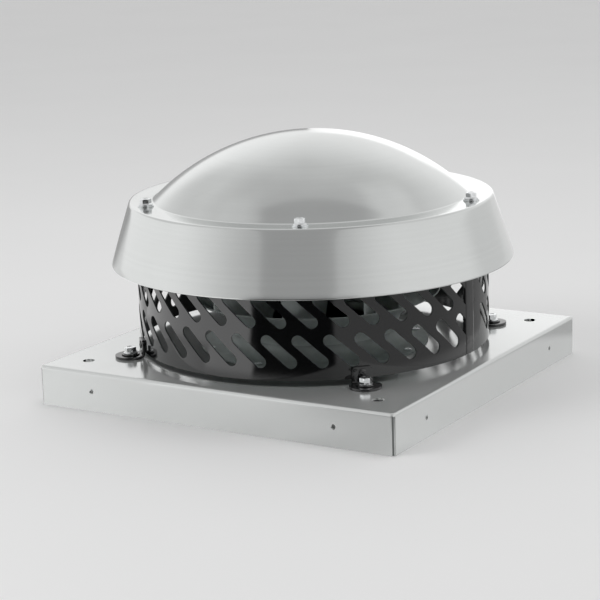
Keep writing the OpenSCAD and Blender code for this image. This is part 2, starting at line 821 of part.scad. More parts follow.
module inner_race(z) {
    color("gray") difference() {
        translate([0, 0, z]) ring(inner_land_r, shaft_r + press_fit, bearing_w);
        race_groove(z);
    }
}

module balls(z) {
    color("whitesmoke") around(ball_n) translate([pitch_r, 0, z + bearing_w / 2])
        sphere(d = ball_d, $fn = small_fn);
}

module cage(z) {
    wall = (outer_land_r - inner_land_r) / 2 - 0.5;
    cage_h = ball_d + 2;
    color("darkkhaki") difference() {
        translate([0, 0, z + (bearing_w - cage_h) / 2])
            ring(pitch_r + wall, pitch_r - wall, cage_h);
        around(ball_n) translate([pitch_r, 0, z + bearing_w / 2])
            sphere(r = race_r, $fn = small_fn);
    }
}

module spring_washer() {
    color("dimgray") translate([0, 0, shoulder_top + 0.1])
        ring(bearing_d / 2 - 0.5, bearing_d / 2 - 2.6, spring_h - 0.2);
}

module shaft() {
    groove_z = upper_bearing_z + bearing_w;
    color("lightsteelblue") difference() {
        translate([0, 0, rotor_z]) cylinder(r = shaft_r, h = shaft_top - rotor_z);
        translate([0, 0, groove_z]) ring(shaft_r + cut, shaft_r - 0.6, circlip_t);
    }
}

module retaining_ring() {
    color("dimgray") translate([0, 0, upper_bearing_z + bearing_w]) difference() {
        ring(shaft_r + 2, shaft_r - 0.6 + press_fit, circlip_t - press_fit);
        translate([0, -1.2, -cut]) cube([shaft_r + 3, 2.4, circlip_t + 2 * cut]);
    }
}

// Rotor

module rotor_bell() {
    color("dimgray") difference() {
        union() {
            translate([0, 0, rotor_z]) cylinder(r = rotor_r, h = rotor_h);
            translate([0, 0, back_top]) cylinder(d = rotor_flange_d, h = rotor_flange_t);
        }
        difference() {
            translate([0, 0, floor_top]) cylinder(r = rotor_in_r, h = rotor_h);
            translate([0, 0, floor_top - cut]) cylinder(r = inner_land_r, h = hub_step + cut);
        }
        translate([0, 0, rotor_z - cut]) cylinder(r = shaft_r + press_fit, h = rotor_h);
        around(rotor_screws_n) translate([rotor_screw_r, 0, back_top - cut])
            cylinder(r = screw_d / 2 + press_fit, h = rotor_flange_t + 2 * cut, $fn = small_fn);
    }
}

module rotor_core() {
    color("slategray") translate([0, 0, stack_z])
        ring(rotor_in_r - press_fit, core_in_r, stack_h);
}

// Impeller

module impeller_back() {
    color("silver") translate([0, 0, back_z]) difference() {
        ring(impeller_r, rotor_r + hole_fit, impeller_sheet);
        around(rotor_screws_n) translate([rotor_screw_r, 0, -cut])
            cylinder(r = screw_d / 2 + hole_fit, h = impeller_sheet + 2 * cut, $fn = small_fn);
    }
}

module impeller_shroud() {
    lean = tangent_angle - 90;
    straight = sqrt(pow(impeller_r - tangent_r, 2) + pow(rim_z - tangent_z, 2));
    color("silver") rotate_extrude() {
        translate([mouth_r, mouth_z]) square([impeller_sheet, mouth_straight]);
        translate([curve_r, curve_z]) arc_sheet(shroud_curve, impeller_sheet, tangent_angle, 180);
        translate([tangent_r, tangent_z]) rotate(lean)
            translate([0, -impeller_sheet]) square([straight, impeller_sheet]);
    }
}

// Space between the shroud and the back plate that a blade fills
module blade_space() {
    top = back_z - blade_fit;
    rotate_extrude() difference() {
        polygon([
            [blade_root_r, top], [impeller_r, top], [impeller_r, rim_z + blade_fit],
            [tangent_r, tangent_z + blade_fit], [curve_r, curve_z], [blade_foot_r, curve_z]
        ]);
        translate([curve_r, curve_z]) circle(shroud_curve + blade_fit);
    }
}

module blade(i) {
    sector = 60;
    color("silver") intersection() {
        blade_space();
        rotate(blade_phase + (i - 1) * 360 / blade_n) translate([0, 0, mouth_z])
            linear_extrude(back_z - mouth_z) intersection() {
                translate(blade_c) difference() {
                    circle(blade_curve + impeller_sheet / 2);
                    circle(blade_curve - impeller_sheet / 2);
                }
                polygon([[0, 0], impeller_r * [1.5, -0.2], impeller_r * [1.5, 1.2],
                    2 * impeller_r * [cos(sector), sin(sector)]]);
            }
    }
}

module impeller_screws() {
    color("lightgray") around(rotor_screws_n) translate([rotor_screw_r, 0, back_z])
        mirror([0, 0, 1]) pan_screw(impeller_sheet + rotor_flange_t);
}

// Connection gear on the motor plate

module terminal_box() {
    color("#33373a") difference() {
        union() {
            difference() {
                translate([box_offset, -box_w / 2, box_z]) cube([box_l, box_w, box_h]);
                translate([box_offset + box_wall, box_wall - box_w / 2, box_z + box_wall])
                    cube([box_l - 2 * box_wall, box_w - 2 * box_wall, box_h]);
            }
            for (at = lid_screw_at) translate([at[0], at[1], box_z])
                cylinder(r = lid_post_r, h = box_h);
        }
        for (at = lid_screw_at) translate([at[0], at[1], box_top - lid_screw_depth])
            cylinder(r = screw_d / 2 + press_fit, h = lid_screw_depth + cut, $fn = small_fn);
        translate([box_offset - cut, gland_y, gland_z]) rotate([0, 90, 0])
            cylinder(r = gland_thread_r, h = box_wall + 2 * cut, $fn = small_fn);
        for (at = box_screw_at) translate([at[0], at[1], box_z - cut])
            cylinder(r = screw_d / 2 + press_fit, h = box_wall + 2 * cut, $fn = small_fn);
    }
}

module terminal_lid() {
    color("#33373a") difference() {
        translate([box_offset, -box_w / 2, box_top]) cube([box_l, box_w, lid_t]);
        for (at = lid_screw_at) translate([at[0], at[1], box_top - cut])
            cylinder(r = screw_d / 2 + hole_fit, h = lid_t + 2 * cut, $fn = small_fn);
    }
}

module lid_screws() {
    color("lightgray") for (at = lid_screw_at)
        translate([at[0], at[1], box_top + lid_t]) pan_screw(lid_screw_len);
}

module cable_gland() {
    color("#33373a") translate([box_offset, gland_y, gland_z]) rotate([0, -90, 0]) difference() {
        union() {
            translate([0, 0, -box_wall])
                cylinder(r = gland_thread_r - press_fit, h = box_wall + cut, $fn = small_fn);
            cylinder(r = gland_nut_r, h = gland_nut_h, $fn = 6);
            cylinder(r = gland_r, h = gland_len, $fn = small_fn);
        }
        translate([0, 0, -box_wall - cut])
            cylinder(r = lead_hole_r, h = box_wall + gland_len + 2 * cut, $fn = small_fn);
    }
}

module capacitor() {
    color("white") translate([-cap_offset, 0, cap_z]) rotate([90, 0, 0]) {
        cylinder(d = cap_d, h = cap_len, center = true);
        for (s = [-1, 1]) translate([s * cap_pin_pitch / 2, 0, cap_len / 2])
            cylinder(d = cap_pin_d, h = cap_pin_len, $fn = small_fn);
    }
}

module capacitor_clamp() {
    loop_r = cap_d / 2 + clamp_t;
    half_span = cap_d / 2 + 2 * clamp_reach;
    color("lightgray") translate([-cap_offset, 0, 0]) difference() {
        union() {
            translate([0, 0, cap_z]) rotate([90, 0, 0])
                cylinder(r = loop_r, h = clamp_w, center = true);
            translate([-half_span, -clamp_w / 2, motor_plate_top])
                cube([2 * half_span, clamp_w, clamp_t]);
        }
        translate([0, 0, cap_z]) rotate([90, 0, 0])
            cylinder(r = cap_d / 2 + press_fit, h = clamp_w + 2 * cut, center = true);
        for (s = [-1, 1]) translate([s * (cap_d / 2 + clamp_reach), 0, motor_plate_top - cut])
            cylinder(r = screw_d / 2 + hole_fit, h = clamp_t + 2 * cut, $fn = small_fn);
    }
}

module plate_screws() {
    color("lightgray") {
        for (at = clamp_screw_at) translate([at[0], at[1], motor_plate_top + clamp_t])
            pan_screw(clamp_t + motor_plate_sheet + end_gap);
        for (at = box_screw_at) translate([at[0], at[1], box_z + box_wall])
            pan_screw(box_wall + motor_plate_sheet + end_gap);
    }
}

module grommet() {
    color("#151515") translate([grommet_at[0], grommet_at[1], motor_plate_z]) difference() {
        union() {
            translate([0, 0, -grommet_depth])
                cylinder(r = grommet_hole_r - press_fit,
                    h = grommet_depth + motor_plate_sheet + grommet_lip, $fn = small_fn);
            translate([0, 0, motor_plate_sheet])
                cylinder(r = grommet_hole_r + grommet_rim, h = grommet_lip, $fn = small_fn);
        }
        translate([0, 0, -stator_flange_t])
            cylinder(r = lead_hole_r, h = 3 * stator_flange_t, $fn = small_fn);
    }
}

// Point on a cubic curve between its ends a and d, drawn by its handles b and c
function curve_point(a, b, c, d, t) =
    pow(1 - t, 3) * a + 3 * t * pow(1 - t, 2) * b + 3 * t * t * (1 - t) * c + pow(t, 3) * d;

// Tube swept along a route of points
function unit(v) = v / norm(v);
function heading(p, i) = unit(p[min(i + 1, len(p) - 1)] - p[max(i - 1, 0)]);
function side_of(d) = unit(cross(d, [1, -1, 1]));
function sweep_points(p, r, n) = [for (i = [0:len(p) - 1], k = [0:n - 1])
    let (d = heading(p, i), u = side_of(d), v = cross(d, u), a = 360 * k / n)
    p[i] + r * (cos(a) * u + sin(a) * v)];
function sweep_faces(m, n) = concat(
    [[for (k = [0:n - 1]) k]],
    [for (i = [0:m - 2], k = [0:n - 1])
        [i * n + k, (i + 1) * n + k, (i + 1) * n + (k + 1) % n]],
    [for (i = [0:m - 2], k = [0:n - 1])
        [i * n + k, (i + 1) * n + (k + 1) % n, i * n + (k + 1) % n]],
    [[for (k = [n - 1:-1:0]) (m - 1) * n + k]]);

module motor_lead() {
    facets = 10;
    bend = [for (i = [0:lead_steps]) curve_point(lead_rise, lead_rise + [0, 0, lead_bend],
        lead_mouth - [lead_bend, 0, 0], lead_mouth, i / lead_steps)];
    route = concat([lead_foot], bend, [lead_end]);
    color("#1a1a1a") polyhedron(
        sweep_points(route, lead_d / 2, facets), sweep_faces(len(route), facets));
}

base_plate();
inlet_nozzle();
nozzle_rivets();
guard_ring();
lug(diagonals[0]);  // lug_front
lug(diagonals[1]);  // lug_right
lug(diagonals[2]);  // lug_back
lug(diagonals[3]);  // lug_left
lug_rivets();
lug_washers();
lug_bolts();
lug_nuts();
motor_plate();
cowl();
cowl_washers();
cowl_bolts();
cowl_nuts();
stator_flange();
motor_screws();
stator_stack();
windings();
outer_race(tube_z);  // lower_outer_race
inner_race(tube_z);  // lower_inner_race
balls(tube_z);  // lower_balls
cage(tube_z);  // lower_cage
outer_race(upper_bearing_z);  // upper_outer_race
inner_race(upper_bearing_z);  // upper_inner_race
balls(upper_bearing_z);  // upper_balls
cage(upper_bearing_z);  // upper_cage
shaft();
retaining_ring();
spring_washer();
rotor_bell();
rotor_core();
impeller_back();
impeller_shroud();
impeller_screws();
for (i = [1:blade_n]) blade(i);
terminal_box();
terminal_lid();
lid_screws();
cable_gland();
capacitor();
capacitor_clamp();
plate_screws();
grommet();
motor_lead();
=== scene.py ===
# %% [markdown]
# # A centrifugal roof fan
# A roof fan stands over a duct on a flat roof. A motor with a drum of curved blades hangs inside
# it, draws air up through the base plate and blows it out sideways. The guard ring of slotted
# sheet keeps birds out, and the wide cowl keeps rain off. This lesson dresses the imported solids:
# it makes fine meshes for the sheet metal, finishes for every surface, and a small studio.

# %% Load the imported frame
from math import acos, atan, atan2, cos, degrees, hypot, pi, radians, sin, sqrt, tan

import bmesh
import bpy
from mathutils import Matrix, Vector


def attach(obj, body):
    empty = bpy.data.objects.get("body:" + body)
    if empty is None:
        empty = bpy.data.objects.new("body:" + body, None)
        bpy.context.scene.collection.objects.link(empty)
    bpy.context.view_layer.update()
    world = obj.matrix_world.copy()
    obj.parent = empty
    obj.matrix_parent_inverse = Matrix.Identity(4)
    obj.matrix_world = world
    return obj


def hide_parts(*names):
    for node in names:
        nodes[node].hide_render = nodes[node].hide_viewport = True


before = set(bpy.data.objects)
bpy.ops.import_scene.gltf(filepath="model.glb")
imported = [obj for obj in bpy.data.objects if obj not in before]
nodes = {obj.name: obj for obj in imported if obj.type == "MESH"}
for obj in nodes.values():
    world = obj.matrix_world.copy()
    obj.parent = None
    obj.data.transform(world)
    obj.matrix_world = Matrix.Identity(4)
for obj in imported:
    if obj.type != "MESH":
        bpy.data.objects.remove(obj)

scene = bpy.context.scene
bpy.context.view_layer.update()
MM = 0.001

# %% [markdown]
# ## The camera
# The photograph was taken with a long lens from the front right corner, slightly above the fan.
# The place and lens were solved from the corners and holes of the square base plate, whose real
# sizes are known, so straight edges in the render fall on the same edges in the photograph.

# %% Camera
VIEW_AZIMUTH = radians(31.536)
VIEW_ELEVATION = radians(13.229)
VIEW_ROLL = radians(-1.829)
CAMERA_PLACE = Vector((1.0027, -1.6610, 0.5385))

back = Vector((
    sin(VIEW_AZIMUTH) * cos(VIEW_ELEVATION), -cos(VIEW_AZIMUTH) * cos(VIEW_ELEVATION),
    sin(VIEW_ELEVATION)))
level_right = Vector((cos(VIEW_AZIMUTH), sin(VIEW_AZIMUTH), 0))
level_up = back.cross(level_right)
camera_right = cos(VIEW_ROLL) * level_right + sin(VIEW_ROLL) * level_up
camera_up = -sin(VIEW_ROLL) * level_right + cos(VIEW_ROLL) * level_up
camera = bpy.data.objects.new("camera", bpy.data.cameras.new("camera"))
camera.matrix_world = Matrix.Translation(CAMERA_PLACE) @ Matrix(
    (camera_right, camera_up, back)).transposed().to_4x4()
camera.data.sensor_fit = "HORIZONTAL"
camera.data.sensor_width = 36
camera.data.lens = 117.08
camera.data.clip_end = 50
scene.collection.objects.link(camera)
scene.camera = camera
scene.view_settings.view_transform = "Standard"
print("camera", [round(v, 3) for v in camera.location], "lens", camera.data.lens)

# %% [markdown]
# ## Sizes
# The lengths below are the ones that the solids were drawn with, in millimetres, so that each
# fine mesh lies exactly where its solid lies. What follows from them is worked out here once.

# %% Sizes in millimetres
PLATE_SIDE, PLATE_TOP, PLATE_SHEET = 400, 40, 2
PLATE_BEND, PLATE_CORNER = 3, 4
CORNER_GAP, TAB_W, TAB_T = 4, 14, 1.5
MOUNT_PITCH, MOUNT_HOLE_R = 330, 6
SIDE_PITCH, SIDE_HOLE_R = 274, 2.5
THROAT_R, NOZZLE_SHEET, NOZZLE_CURVE, NOZZLE_COLLAR, NOZZLE_FLANGE = 82, 1.5, 16, 6, 18
BELL_R, BELL_Z = THROAT_R + NOZZLE_CURVE, PLATE_TOP + NOZZLE_CURVE
OPENING_R = BELL_R + 2
NOZZLE_TOP = BELL_Z + NOZZLE_COLLAR
NOZZLE_RIVET_R = (OPENING_R + BELL_R + NOZZLE_FLANGE) / 2

GUARD_R, GUARD_SHEET, GUARD_Z, GUARD_H, GUARD_FLANGE = 178, 1.5, 46, 142.5, 20
GUARD_TOP = GUARD_Z + GUARD_H
SLOT_W, SLOT_LEN, SLOT_LEAN, SLOT_STEP = 12, 42.5, radians(47.5), radians(9.55)
SLOT_COUNT, SLOT_ROWS, SLOT_BAND, SLOT_GAP = 37, 3, 11.6, 5.8
SEAM_ANGLE, SEAM_W, SEAM_GROOVE = radians(-3.5), 18, 0.6

LUG_SHEET, LUG_W, LUG_PAD_R, LUG_LEG, LUG_R = 2.5, 20, 15.5, 17.5, 270 / sqrt(2)
LUG_ANGLES = {"lug_front": -45, "lug_right": 45, "lug_back": 135, "lug_left": 225}
LUG_RIVET_Z = (GUARD_Z + PLATE_TOP + LUG_LEG) / 2

MOTOR_PLATE_TOP = GUARD_TOP + 2
COWL_SHEET, COWL_BEND, HEM_H = 1.5, 3, 7
FLANGE_TOP = MOTOR_PLATE_TOP + COWL_SHEET
SKIRT_BOTTOM_R, SKIRT_TOP_R, SKIRT_H = 203.5, 183, 63
SKIRT_Z = FLANGE_TOP - SKIRT_H
SKIRT_LEAN = atan((SKIRT_BOTTOM_R - SKIRT_TOP_R) / SKIRT_H)
DOME_FOOT_R, DOME_RISE, DOME_FILLET = 159, 64.4, 3.5
DOME_R = (DOME_FOOT_R ** 2 + DOME_RISE ** 2) / (2 * DOME_RISE)
DOME_Z = FLANGE_TOP + DOME_RISE - DOME_R
COWL_BOLT_R, COWL_BOLT_ANGLE, COWL_BOLTS = DOME_FOOT_R + 9.5, radians(-62.5), 5

IMPELLER_R, IMPELLER_SHEET, RIM_Z = 128, 1.2, PLATE_TOP + 54
MOUTH_R, MOUTH_Z, MOUTH_STRAIGHT, SHROUD_CURVE = THROAT_R + 3, NOZZLE_TOP - 6, 2, 24

BOLT_R, BOLT_AF, BOLT_FLANGE_R, BOLT_HEAD, BOLT_LEN = 3, 10, 7.1, 6.6, 16
NUT_H, WASHER_T, COWL_WASHER_R, LUG_WASHER_R, BOLT_HOLE_R = 5, 1.2, 8, 9, 3.3
RIVET_R = 2
print("dome radius", round(DOME_R, 2), "skirt lean", round(degrees(SKIRT_LEAN), 2))

# %% [markdown]
# ## Helpers for node trees
# Shader nodes and geometry nodes are built by the same few lines: a node is added, its settings
# are made, and each input is given a number or the output of another node.


# %% Node helpers
def socket_of(sockets, key):
    """Find a socket by its place, or by its name among those in use."""
    if isinstance(key, int):
        return sockets[key]
    return next(s for s in sockets if s.name == key and s.enabled)


def put(tree, kind, values=None, **settings):
    """Add a node and fill its inputs with numbers or with other nodes' outputs."""
    node = tree.nodes.new(kind)
    for name, value in settings.items():
        setattr(node, name, value)
    for key, value in (values or {}).items():
        target = socket_of(node.inputs, key)
        if isinstance(value, bpy.types.Node):
            value = value.outputs[0]
        if isinstance(value, bpy.types.NodeSocket):
            tree.links.new(value, target)
        else:
            target.default_value = value
    return node


def calc(tree, operation, *values, clamp=False):
    """One step of arithmetic as a Math node."""
    node = put(tree, "ShaderNodeMath", dict(enumerate(values)), operation=operation,
               use_clamp=clamp)
    return node.outputs[0]


def add(tree, first, *rest):
    for value in rest:
        first = calc(tree, "ADD", first, value)
    return first


def mul(tree, first, *rest):
    for value in rest:
        first = calc(tree, "MULTIPLY", first, value)
    return first


def sub(tree, a, b):
    return calc(tree, "SUBTRACT", a, b)


def div(tree, a, b):
    return calc(tree, "DIVIDE", a, b)


def split(tree, vector):
    """The three numbers of a vector."""
    return put(tree, "ShaderNodeSeparateXYZ", {0: vector}).outputs


def joined(tree, x=0.0, y=0.0, z=0.0):
    """A vector of three numbers."""
    return put(tree, "ShaderNodeCombineXYZ", {0: x, 1: y, 2: z}).outputs[0]


def ramp(tree, value, low, high, start=0.0, end=1.0, soft=False):
    """Carry a value from one range to another, and keep it there."""
    node = put(tree, "ShaderNodeMapRange", {
        "Value": value, "From Min": low, "From Max": high, "To Min": start, "To Max": end},
        interpolation_type="SMOOTHSTEP" if soft else "LINEAR")
    return node.outputs[0]


def start_group(name, kind, inputs, outputs):
    """Make a node group: its tree, its inputs and its end's inputs.

    An input is a name with its default, or with a kind where it has no default.
    """
    tree = bpy.data.node_groups.new(name, kind)
    for label, default in inputs.items():
        kinds = {str: default, int: "Int", float: "Float", tuple: "Color"}
        socket = tree.interface.new_socket(
            label, in_out="INPUT", socket_type="NodeSocket" + kinds[type(default)])
        if not isinstance(default, str):
            socket.default_value = default
    for label, socket_type in outputs.items():
        tree.interface.new_socket(label, in_out="OUTPUT", socket_type="NodeSocket" + socket_type)
    given = tree.nodes.new("NodeGroupInput").outputs
    result = tree.nodes.new("NodeGroupOutput").inputs
    return tree, given, result


def give(tree, result, values):
    """Link what a group puts out."""
    for label, value in values.items():
        tree.links.new(value, result[label])
    return tree


def srgb(text):
    """Turn a colour such as #8c8e8d into the linear values that shaders use."""
    values = [int(text[i:i + 2], 16) / 255 for i in (1, 3, 5)]
    return (*[v / 12.92 if v <= 0.04045 else ((v + 0.055) / 1.055) ** 2.4 for v in values], 1)


# %% [markdown]
# ## Effects that several finishes share
# Powder coat is never quite flat: it flows into a fine orange peel, and its colour wanders a
# little. Dust settles on what faces up. Spun and turned parts keep circular tool lines, and
# zinc-dipped sheet shows crystals. Each effect is one shader group that every finish which shows
# it uses, with its own sizes, so a change here reaches all of them.


# %% Shader group: paint film
PLAIN = {"Color": (0.5, 0.5, 0.5, 1), "Roughness": 0.3}
SURFACE = {"Color": "Color", "Roughness": "Float", "Normal": "Vector"}
GRAIN_PER_PEEL, DRIFT_SCALE, DRIFT_IN_GLOSS = 2.7, 14.0, 0.6


def object_place(tree):
    return put(tree, "ShaderNodeTexCoord").outputs["Object"]


def noise(tree, place, scale, detail=2.0):
    return put(tree, "ShaderNodeTexNoise", {"Vector": place, "Scale": scale, "Detail": detail})


def mixed(tree, factor, a, b, **settings):
    """Blend two colours."""
    node = put(tree, "ShaderNodeMix", {"Factor": factor, "A": a, "B": b}, data_type="RGBA",
               **settings)
    return socket_of(node.outputs, "Result")


def grey(tree, value):
    return put(tree, "ShaderNodeCombineColor", {i: value for i in range(3)}).outputs[0]


def shaded(tree, color, factor):
    """Make a colour darker or lighter by a factor."""
    return mixed(tree, 1.0, color, grey(tree, factor), blend_type="MULTIPLY")


def reach(tree, a, b):
    """How far a place is that lies a along one axis and b along another."""
    return calc(tree, "SQRT", add(tree, mul(tree, a, a), mul(tree, b, b)))


def bumped(tree, height, depth):
    return put(tree, "ShaderNodeBump", {
        "Strength": 1.0, "Distance": depth, "Height": height}).outputs[0]


def make_paint_film():
    tree, given, result = start_group(
        "paint_film", "ShaderNodeTree",
        {**PLAIN, "Peel Size": 0.0015, "Peel Depth": 0.00001, "Fleck": 0.03, "Drift": 0.03},
        SURFACE)
    place = object_place(tree)
    peel_scale = div(tree, 1.0, given["Peel Size"])
    peel = noise(tree, place, peel_scale)
    grain = noise(tree, place, mul(tree, peel_scale, GRAIN_PER_PEEL), 1.0)
    slow = noise(tree, place, DRIFT_SCALE, 3.0)
    fleck = mul(tree, sub(tree, grain, 0.5), given["Fleck"])
    drift = mul(tree, sub(tree, slow, 0.5), given["Drift"])
    return give(tree, result, {
        "Color": shaded(tree, given["Color"], add(tree, 1.0, fleck, drift)),
        "Roughness": add(tree, given["Roughness"], mul(tree, drift, DRIFT_IN_GLOSS)),
        "Normal": bumped(tree, peel, given["Peel Depth"])})


# %% Shader group: dust and finger marks
DUST_ON_SIDES, DUST_DULLNESS = 0.35, 0.5


def make_dust():
    tree, given, result = start_group(
        "dust", "ShaderNodeTree",
        {**PLAIN, "Dust Color": (0.35, 0.34, 0.31, 1), "Amount": 0.1, "Patch Size": 0.04},
        {"Color": "Color", "Roughness": "Float"})
    coordinates = put(tree, "ShaderNodeTexCoord").outputs
    upward = calc(tree, "MAXIMUM", split(tree, coordinates["Normal"])["Z"], 0.0)
    patches = put(tree, "ShaderNodeTexNoise", {
        "Vector": coordinates["Object"], "Scale": div(tree, 1.0, given["Patch Size"]),
        "Detail": 5.0, "Roughness": 0.6})
    cover = ramp(tree, patches, 0.42, 0.75, soft=True)
    share = add(tree, DUST_ON_SIDES, mul(tree, upward, 1.0 - DUST_ON_SIDES))
    mask = calc(tree, "MULTIPLY", mul(tree, cover, share), given["Amount"], clamp=True)
    return give(tree, result, {
        "Color": mixed(tree, mask, given["Color"], given["Dust Color"]),
        "Roughness": add(tree, given["Roughness"], mul(tree, mask, DUST_DULLNESS))})


# %% Shader group: circular tool lines
LINES_UP = 0.83


def make_tool_lines():
    tree, given, result = start_group(
        "tool_lines", "ShaderNodeTree",
        {"Roughness": 0.3, "Line Width": 0.0006, "Depth": 0.000004, "Spread": 0.08},
        {"Mask": "Float", "Roughness": "Float", "Normal": "Vector"})
    axes = split(tree, object_place(tree))
    across = add(tree, reach(tree, axes[0], axes[1]), mul(tree, axes[2], LINES_UP))
    lines = put(tree, "ShaderNodeTexNoise", {
        "W": div(tree, across, given["Line Width"]), "Scale": 1.0, "Detail": 3.0},
        noise_dimensions="1D").outputs[0]
    spread = mul(tree, sub(tree, lines, 0.5), given["Spread"])
    return give(tree, result, {
        "Mask": lines, "Roughness": add(tree, given["Roughness"], spread),
        "Normal": bumped(tree, lines, given["Depth"])})


# %% Shader group: crystals of zinc
WOBBLE_SCALE, WOBBLE, GRIT_SCALE, GRIT_DEPTH = 300.0, 0.0015, 900.0, 0.000006


def make_spangle():
    tree, given, result = start_group(
        "spangle", "ShaderNodeTree",
        {"Color": (0.6, 0.6, 0.6, 1), "Roughness": 0.35, "Cell Size": 0.006, "Contrast": 0.15},
        SURFACE)
    place = object_place(tree)
    shift = put(tree, "ShaderNodeVectorMath", {
        0: noise(tree, place, WOBBLE_SCALE).outputs[1], 1: (WOBBLE, WOBBLE, WOBBLE)},
        operation="MULTIPLY")
    spot = put(tree, "ShaderNodeVectorMath", {0: place, 1: shift}, operation="ADD")
    cells = put(tree, "ShaderNodeTexVoronoi", {
        "Vector": spot, "Scale": div(tree, 1.0, given["Cell Size"])})
    tone = put(tree, "ShaderNodeSeparateColor", {0: cells.outputs["Color"]}).outputs

    def wander(start, channel):
        return add(tree, start, mul(tree, sub(tree, tone[channel], 0.5), given["Contrast"]))
    return give(tree, result, {
        "Color": shaded(tree, given["Color"], wander(1.0, 0)),
        "Roughness": wander(given["Roughness"], 1),
        "Normal": bumped(tree, noise(tree, place, GRIT_SCALE), GRIT_DEPTH)})


PAINT_FILM = make_paint_film()
DUST = make_dust()
TOOL_LINES = make_tool_lines()
SPANGLE = make_spangle()
print("shader groups", [g.name for g in (PAINT_FILM, DUST, TOOL_LINES, SPANGLE)])


# %% [markdown]
# ## Finishes
# Each finish is one material. Numbers that are the same all over a surface go on the Principled
# shader itself, and only what varies is linked to it.


# %% Helpers for finishes
GROUP_LABELS = {
    PAINT_FILM: ("Roughness", "Peel Size", "Peel Depth", "Fleck", "Drift"),
    TOOL_LINES: ("Roughness", "Line Width", "Depth", "Spread"),
    SPANGLE: ("Roughness", "Cell Size", "Contrast"),
    DUST: ("Amount", "Patch Size", "Dust Color"),
}


def new_finish(name, settings):
    """A material with its Principled shader, whose plain sockets are set here."""
    material = bpy.data.materials.new(name)
    material.use_nodes = True
    tree = material.node_tree
    shader = tree.nodes["Principled BSDF"]
    for socket, value in settings.items():
        shader.inputs[socket].default_value = value
    return material, tree, shader


def use(tree, group, *numbers, **values):
    """Place a group, with its own numbers in their order and its colour and roughness."""
    named = {**dict(zip(GROUP_LABELS[group], numbers)), **values}
    return put(tree, "ShaderNodeGroup", named, node_tree=group).outputs


def feed(tree, shader, color, roughness, normal):
    for socket, source in (("Base Color", color), ("Roughness", roughness), ("Normal", normal)):
        tree.links.new(source, shader.inputs[socket])


def finished(name, group, color, settings, numbers, dust):
    """A finish of one group, with dust on it."""
    material, tree, shader = new_finish(name, settings)
    if group == TOOL_LINES:
        base = use(tree, group, *numbers)
        color = shaded(tree, srgb(color), ramp(tree, base["Mask"], 0.0, 1.0, 0.9, 1.08))
    else:
        base = use(tree, group, *numbers, Color=srgb(color))
        color = base["Color"]
    dusty = use(tree, DUST, *dust, Color=color, Roughness=base["Roughness"])
    feed(tree, shader, dusty["Color"], dusty["Roughness"], base["Normal"])
    return material


def cowl_finish():
    """The cowl's silver paint, with the spinning lines of its sheet faint under the film."""
    material, tree, shader = new_finish("cowl_paint", {"Metallic": 1.0})
    cuts = use(tree, TOOL_LINES, 0.3, 0.0022, 0.0, 0.02)
    toned = shaded(tree, srgb("#dcdedd"), ramp(tree, cuts["Mask"], 0.3, 0.7, 0.99, 1.01))
    coat = use(tree, PAINT_FILM, 0.13, 0.0022, 0.000003, 0.06, 0.06, Color=toned)
    dusty = use(tree, DUST, 0.05, 0.05, Color=coat["Color"], Roughness=coat["Roughness"])
    feed(tree, shader, dusty["Color"], dusty["Roughness"], coat["Normal"])
    return material


# Painted shade: inside the guard ring, left of a line 5 to 9 cm right of the axis as the camera
# sees it, the plate is darkened towards this colour, and its paint is rougher there.
INSIDE_SHADE_COLOR, INSIDE_SHADE_RING, INSIDE_SHADE_SIDE = srgb("#4c5150"), (0.174, 0.179), (0.05, 0.09)


def plate_finish():
    """The plate's silver paint, with painted shade over most of it inside the ring."""
    material, tree, shader = new_finish("plate_paint", {"Metallic": 0.62})
    coat = use(tree, PAINT_FILM, 0.13, 0.002, 0.000003, 0.05, 0.05, Color=srgb("#dee0df"))
    dusty = use(tree, DUST, 0.06, 0.06, Color=coat["Color"], Roughness=coat["Roughness"])
    place = object_place(tree)
    flat = put(tree, "ShaderNodeVectorMath", {0: place, 1: (1, 1, 0)}, operation="MULTIPLY")
    radius = put(tree, "ShaderNodeVectorMath", {0: flat}, operation="LENGTH")
    inside = ramp(tree, radius.outputs["Value"], *INSIDE_SHADE_RING, 1.0, 0.0)
    across = put(tree, "ShaderNodeVectorMath", {0: place, 1: (0.85, 0.52, 0)},
                 operation="DOT_PRODUCT")
    side = ramp(tree, across.outputs["Value"], *INSIDE_SHADE_SIDE, 1.0, 0.0, soft=True)
    # Painted shade inside the ring, mixed in up to 85 percent, with more roughness from the same
    # mask.
    inside_shade_mask = mul(tree, inside, side)
    inside_shaded_color = mixed(tree, mul(tree, inside_shade_mask, 0.85), dusty["Color"], INSIDE_SHADE_COLOR)
    dull = add(tree, dusty["Roughness"], mul(tree, inside_shade_mask, 0.45))
    feed(tree, shader, inside_shaded_color, dull, coat["Normal"])
    return material


